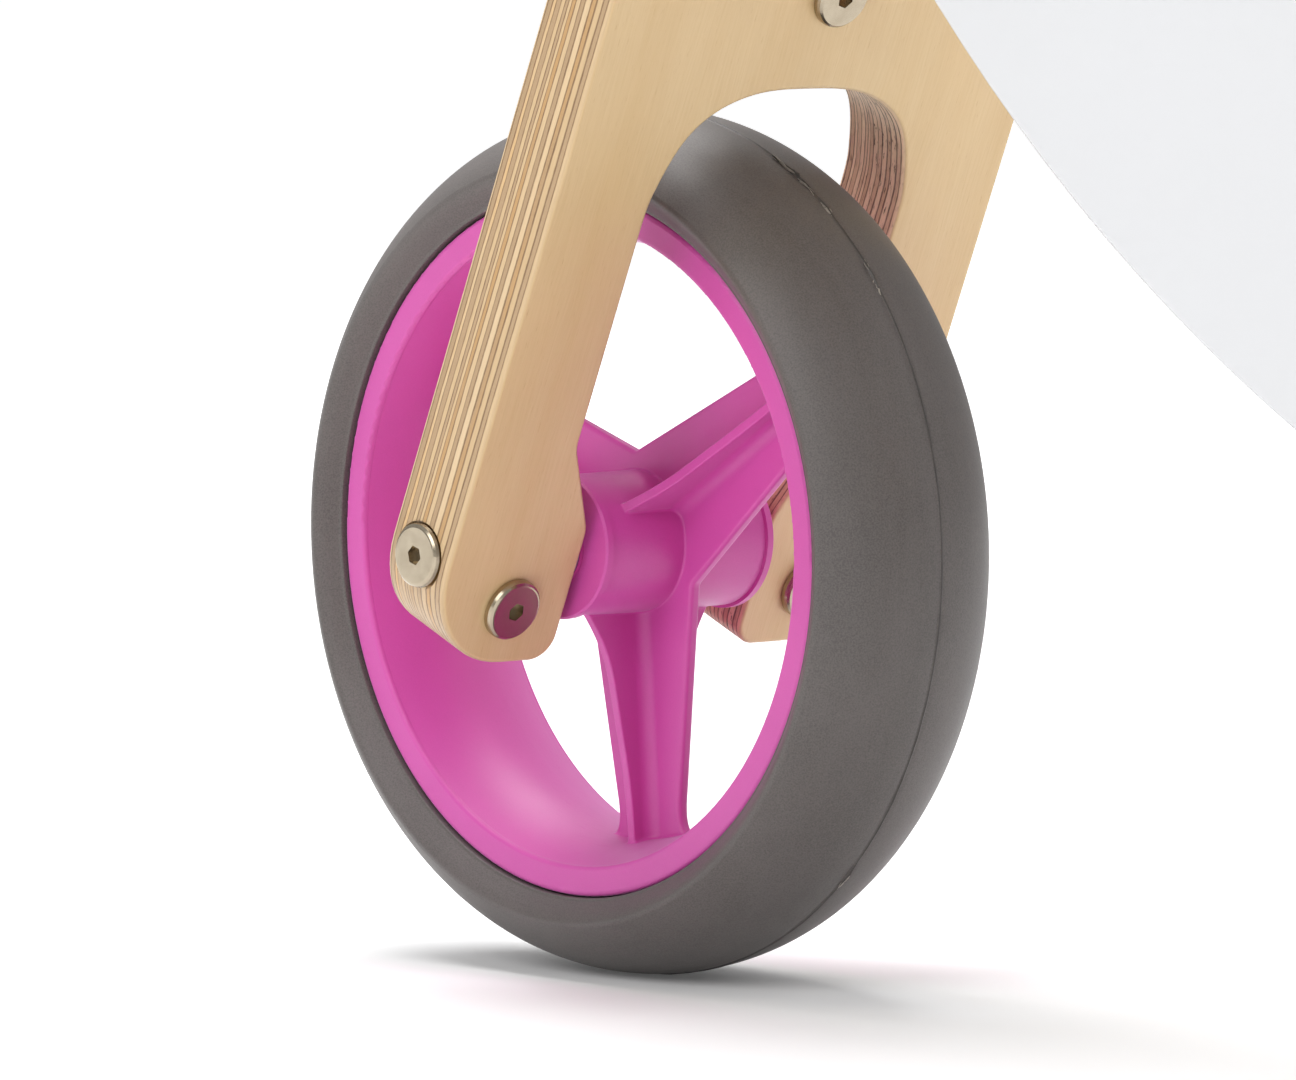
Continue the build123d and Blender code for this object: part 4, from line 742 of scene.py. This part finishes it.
def seat_cushion():
    node = nodes["seat_pad"]
    o = world_copy(node, "seat_cushion")
    me = o.data
    low_z = min(v.co.z for v in me.vertices)
    high_z = max(v.co.z for v in me.vertices)
    xs = [v.co.x for v in me.vertices]
    mid = Vector(((min(xs) + max(xs)) / 2, 0.0, low_z))
    seam_z = low_z + 0.0068
    # start a little inside the pad
    for v in me.vertices:
        d = v.co - mid
        v.co = mid + Vector((d.x * 0.972, d.y * 0.935, d.z * 0.80))
    mod = o.modifiers.new("remesh", "REMESH")
    mod.mode = "VOXEL"
    mod.voxel_size = 0.0042
    mod.use_smooth_shade = True
    settle(o)
    me = o.data
    start = [v.co.copy() for v in me.vertices]
    # held along the welt, across two sewn channels, and flat on the seat board
    held = o.vertex_groups.new(name="held")
    weights = {}
    for v in me.vertices:
        z = v.co.z
        w = 0.0
        if z < low_z + 0.0024:
            w = 1.0
        elif abs(z - seam_z) < 0.0021:
            w = 1.0
        elif z > low_z + 0.012:
            for at in (-0.098, -0.168):
                if abs(v.co.x - at - 0.08 * v.co.y ** 2 / 0.06) < 0.0021:
                    w = 0.97
        if w > 0:
            weights[v.index] = w
            held.add([v.index], w, "REPLACE")
    cloth = o.modifiers.new("cloth", "CLOTH")
    c = cloth.settings
    c.quality = 6
    c.mass = 0.25
    c.tension_stiffness = 12.0
    c.compression_stiffness = 12.0
    c.shear_stiffness = 6.0
    c.bending_stiffness = 0.5
    c.use_pressure = True
    c.uniform_pressure_force = 4.0
    c.vertex_group_mass = "held"
    c.pin_stiffness = 1.0
    c.effector_weights.gravity = 0.0
    cloth.collision_settings.use_collision = False
    cloth.point_cache.frame_start = 1
    cloth.point_cache.frame_end = 20
    scn = bpy.context.scene
    for f in range(1, 21):
        scn.frame_set(f)
    deps = bpy.context.evaluated_depsgraph_get()
    done = [v.co.copy() for v in o.evaluated_get(deps).data.vertices]
    o.modifiers.remove(cloth)
    cap = 0.0055
    for v, a, b in zip(me.vertices, start, done):
        d = b - a
        if d.length > cap:
            d = d.normalized() * cap
        v.co = a + d
        v.co.z = max(v.co.z, low_z + 0.0001)
    scn.frame_set(1)
    o.vertex_groups.clear()
    sub = o.modifiers.new("smooth", "SUBSURF")
    sub.levels = 1
    sub.render_levels = 1
    settle(o)
    # kept within the pad's own box
    b_low, b_high = Vector((min(xs), -1, low_z)), Vector((max(xs), 1, high_z))
    for v in o.data.vertices:
        v.co.x = min(max(v.co.x, b_low.x - 0.001), b_high.x + 0.001)
        v.co.z = min(max(v.co.z, low_z + 0.0001), high_z + 0.0010)
    o.data.polygons.foreach_set("use_smooth", [True] * len(o.data.polygons))
    o.data.materials.clear()
    o.data.materials.append(M["seat"])
    o.data.update()
    tree = BVHTree.FromObject(o, bpy.context.evaluated_depsgraph_get())
    # welt all round, and a row of stitches above it
    loop, length, centre = outline_at(o.data, seam_z)
    welt = tube("seat_welt", loop, 0.0015, M["seat_welt"])
    stitches = []
    for dz in (0.0042,):
        count = int(length / 0.0042)
        for n in range(count):
            u = n / count * len(loop)
            i = int(u)
            p = loop[i].lerp(loop[(i + 1) % len(loop)], u - i)
            t = (loop[(i + 1) % len(loop)] - loop[i - 1]).normalized()
            outward = Vector((t.y, -t.x, 0.0)).normalized()
            if outward.dot(p - centre) < 0:
                outward = -outward
            src = Vector((p.x, p.y, seam_z + dz)) + outward * 0.03
            hit, nrm, _, _ = tree.ray_cast(src, -outward, 0.05)
            if hit is not None:
                stitches.append((hit, t, nrm))
    # and along the two channels
    for at in (-0.098, -0.168):
        n = -26
        while n <= 26:
            y = n * 0.0021
            x = at + 0.08 * y * y / 0.06
            hit, nrm, _, _ = tree.ray_cast(Vector((x, y, 0.40)), Vector((0, 0, -1)), 0.3)
            if hit is not None and nrm.z > 0.55:
                t = Vector((2 * 0.08 * y / 0.06, 1.0, 0.0)).normalized()
                t = (t - nrm * t.dot(nrm)).normalized()
                stitches.append((hit, t, nrm))
            n += 2
    verts, faces = [], []
    for hit, t, nrm in stitches:
        b = nrm.cross(t).normalized()
        base = len(verts)
        rings = [(-1.35, 0.10), (-1.0, 0.30), (-0.3, 0.40), (0.3, 0.40), (1.0, 0.30), (1.35, 0.10)]
        for along, r in rings:
            lift = 0.10 + 0.16 * (1 - (along / 1.35) ** 2)
            for j in range(6):
                w = 2 * math.pi * j / 6
                verts.append(hit + t * (along * MM) + b * (math.cos(w) * r * MM) + nrm * ((math.sin(w) * r * 0.8 + lift) * MM))
        for i in range(len(rings) - 1):
            for j in range(6):
                j2 = (j + 1) % 6
                faces.append((base + i * 6 + j, base + i * 6 + j2, base + (i + 1) * 6 + j2, base + (i + 1) * 6 + j))
        faces.append(tuple(base + j for j in reversed(range(6))))
        faces.append(tuple(base + 30 + j for j in range(6)))
    sewn = mesh_object("seat_stitches", verts, faces, M["thread"])
    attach(o, "frame")
    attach(welt, "frame")
    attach(sewn, "frame")
    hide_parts("seat_pad")


M["seat_welt"] = leatherette("seat_welt", srgb(74, 71, 68))
seat_cushion()


# ------------------------------------------------------------------ grips
def make_grip(name, side):
    """Moulded grip with an inner guard, ringed palm, a mushroom end and its parting line."""
    cx = 0.220 + 10.5 * MM * CT - 310.0 * MM * ST
    cz = 0.1015 + 10.5 * MM * ST + 310.0 * MM * CT
    x0, x1, xe = 62.0, 165.1, 170.0
    prof = [(x0, 12.6), (x0, 14.0), (x0 + 0.05, 18.9), (x0 + 0.35, 19.6), (x0 + 1.0, 19.95), (x0 + 2.2, 20.1), (x0 + 3.6, 20.0),
            (x0 + 4.5, 19.6), (x0 + 4.95, 18.9), (x0 + 5.2, 17.6), (x0 + 6.1, 16.3), (x0 + 7.6, 15.4), (x0 + 9.2, 15.0)]
    x = x0 + 10.0
    while x < x1 - 10.0:
        u = (x - x0 - 10.0) / (x1 - x0 - 20.0)
        body = 15.15 + 0.75 * math.sin(math.pi * u) ** 0.8
        phase = ((x - x0 - 10.0) % 5.2) / 5.2
        groove = 0.0
        d = abs(phase - 0.5) * 5.2
        if d < 0.75 and 0.05 < u < 0.95:
            groove = 0.75 * (0.5 + 0.5 * math.cos(math.pi * d / 0.75))
        prof.append((x, body - groove))
        x += 0.26
    prof += [(x1 - 8.6, 15.2), (x1 - 7.6, 15.6), (x1 - 6.6, 16.7), (x1 - 5.8, 18.2), (x1 - 5.2, 19.0), (x1 - 4.4, 19.5),
             (x1 - 3.4, 19.6), (x1 - 2.0, 19.2), (x1 - 0.4, 18.4), (x1 + 1.2, 17.2), (xe - 2.2, 15.4), (xe - 1.1, 13.0),
             (xe - 0.5, 10.4), (xe - 0.55, 8.8), (xe - 1.1, 8.0), (xe - 1.15, 6.0), (xe - 0.75, 4.6), (xe - 0.55, 2.4), (xe - 0.5, 0.0)]
    steps = 160
    verts, faces = [], []
    for along, r in prof[:-1]:
        for j in range(steps):
            t = 2 * math.pi * j / steps
            rr = r
            d = min(abs(t - math.pi / 2), abs(t - 3 * math.pi / 2))
            if x0 + 5 < along < x1 - 6:
                rr += 0.16 * math.exp(-(d / 0.022) ** 2)
            verts.append((cx + math.cos(t) * rr * MM, side * along * MM, cz + math.sin(t) * rr * MM))
    tip = len(verts)
    verts.append((cx, side * prof[-1][0] * MM, cz))
    n = len(prof) - 1
    for i in range(n - 1):
        for j in range(steps):
            j2 = (j + 1) % steps
            faces.append((i * steps + j, i * steps + j2, (i + 1) * steps + j2, (i + 1) * steps + j))
    for j in range(steps):
        faces.append(((n - 1) * steps + j, (n - 1) * steps + (j + 1) % steps, tip))
    o = mesh_object(name, verts, faces, M["grip"])
    bm = bmesh.new()
    bm.from_mesh(o.data)
    bmesh.ops.recalc_face_normals(bm, faces=bm.faces)
    bm.to_mesh(o.data)
    bm.free()
    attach(o, "fork")
    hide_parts("grip_left" if side > 0 else "grip_right")
    return o


make_grip("grip_left_moulded", 1)
make_grip("grip_right_moulded", -1)


# ------------------------------------------------------------------ floor, light and camera
def floor():
    m = Mat("studio_floor")
    p = m.coord()
    c = m.noise(p, 1.4, 3.0, 0.5)
    col = m.mix(c, (0.86, 0.86, 0.865), (0.88, 0.88, 0.882))
    s = m.shader(Base_Color=col, Roughness=0.9, Specular_IOR_Level=0.1)
    s.inputs["Emission Color"].default_value = (1, 1, 1, 1)
    # the sweep behind the bike is lit separately, and is brighter than the ground under it
    away = m.vmath("LENGTH", p)
    m.put(s.inputs["Emission Strength"], m.span(away, 0.45, 2.2, 0.06, 0.62, smooth=True))
    bm = bmesh.new()
    ring = [bm.verts.new((math.cos(i * math.pi / 64) * 26.0, math.sin(i * math.pi / 64) * 26.0, 0.0)) for i in range(128)]
    bm.faces.new(ring)
    me = bpy.data.meshes.new("studio_floor")
    bm.to_mesh(me)
    bm.free()
    o = bpy.data.objects.new("studio_floor", me)
    bpy.context.scene.collection.objects.link(o)
    me.materials.append(m.m)


floor()


def area(name, where, target, size, power, colour=(1.0, 1.0, 1.0), size_y=None):
    d = bpy.data.lights.new(name, "AREA")
    d.shape = "RECTANGLE"
    d.size, d.size_y = size, size_y or size
    d.energy = power
    d.color = colour
    o = bpy.data.objects.new(name, d)
    bpy.context.scene.collection.objects.link(o)
    o.location = where
    o.rotation_mode = "QUATERNION"
    o.rotation_quaternion = (Vector(target) - Vector(where)).to_track_quat("-Z", "Y")
    return o


area("softbox_top", (0.66, -0.22, 2.05), (0.14, 0.02, 0.0), 1.7, 60.0)
area("softbox_left", (-0.25, 2.0, 1.5), (0.15, 0.0, 0.12), 1.3, 21.0)
area("softbox_right", (-1.55, -0.9, 1.9), (0.2, 0.0, 0.12), 2.0, 12.0)

world = bpy.data.worlds.new("studio")
bpy.context.scene.world = world
world.use_nodes = True
bg = world.node_tree.nodes["Background"]
bg.inputs["Color"].default_value = (1.0, 1.0, 1.0, 1.0)
bg.inputs["Strength"].default_value = 0.45

scene = bpy.context.scene
scene.view_settings.view_transform = "Standard"
scene.view_settings.look = "None"
scene.view_settings.exposure = 0.0
scene.view_settings.gamma = 1.0

cam_data = bpy.data.cameras.new("camera")
cam_data.sensor_fit = "HORIZONTAL"
cam_data.sensor_width = 36.0
cam_data.lens = 279.6
cam_data.clip_start = 0.05
cam_data.clip_end = 200.0
cam = bpy.data.objects.new("camera", cam_data)
scene.collection.objects.link(cam)
right = Vector((-0.668752, -0.743486, 0.0))
up = Vector((0.054505, -0.049027, 0.997309))
back = Vector((-0.741485, 0.666952, 0.073311))
cam.matrix_world = Matrix((
    (right.x, up.x, back.x, -1.5268),
    (right.y, up.y, back.y, 1.5695),
    (right.z, up.z, back.z, 0.2742),
    (0.0, 0.0, 0.0, 1.0)))
scene.camera = cam

bpy.context.view_layer.update()
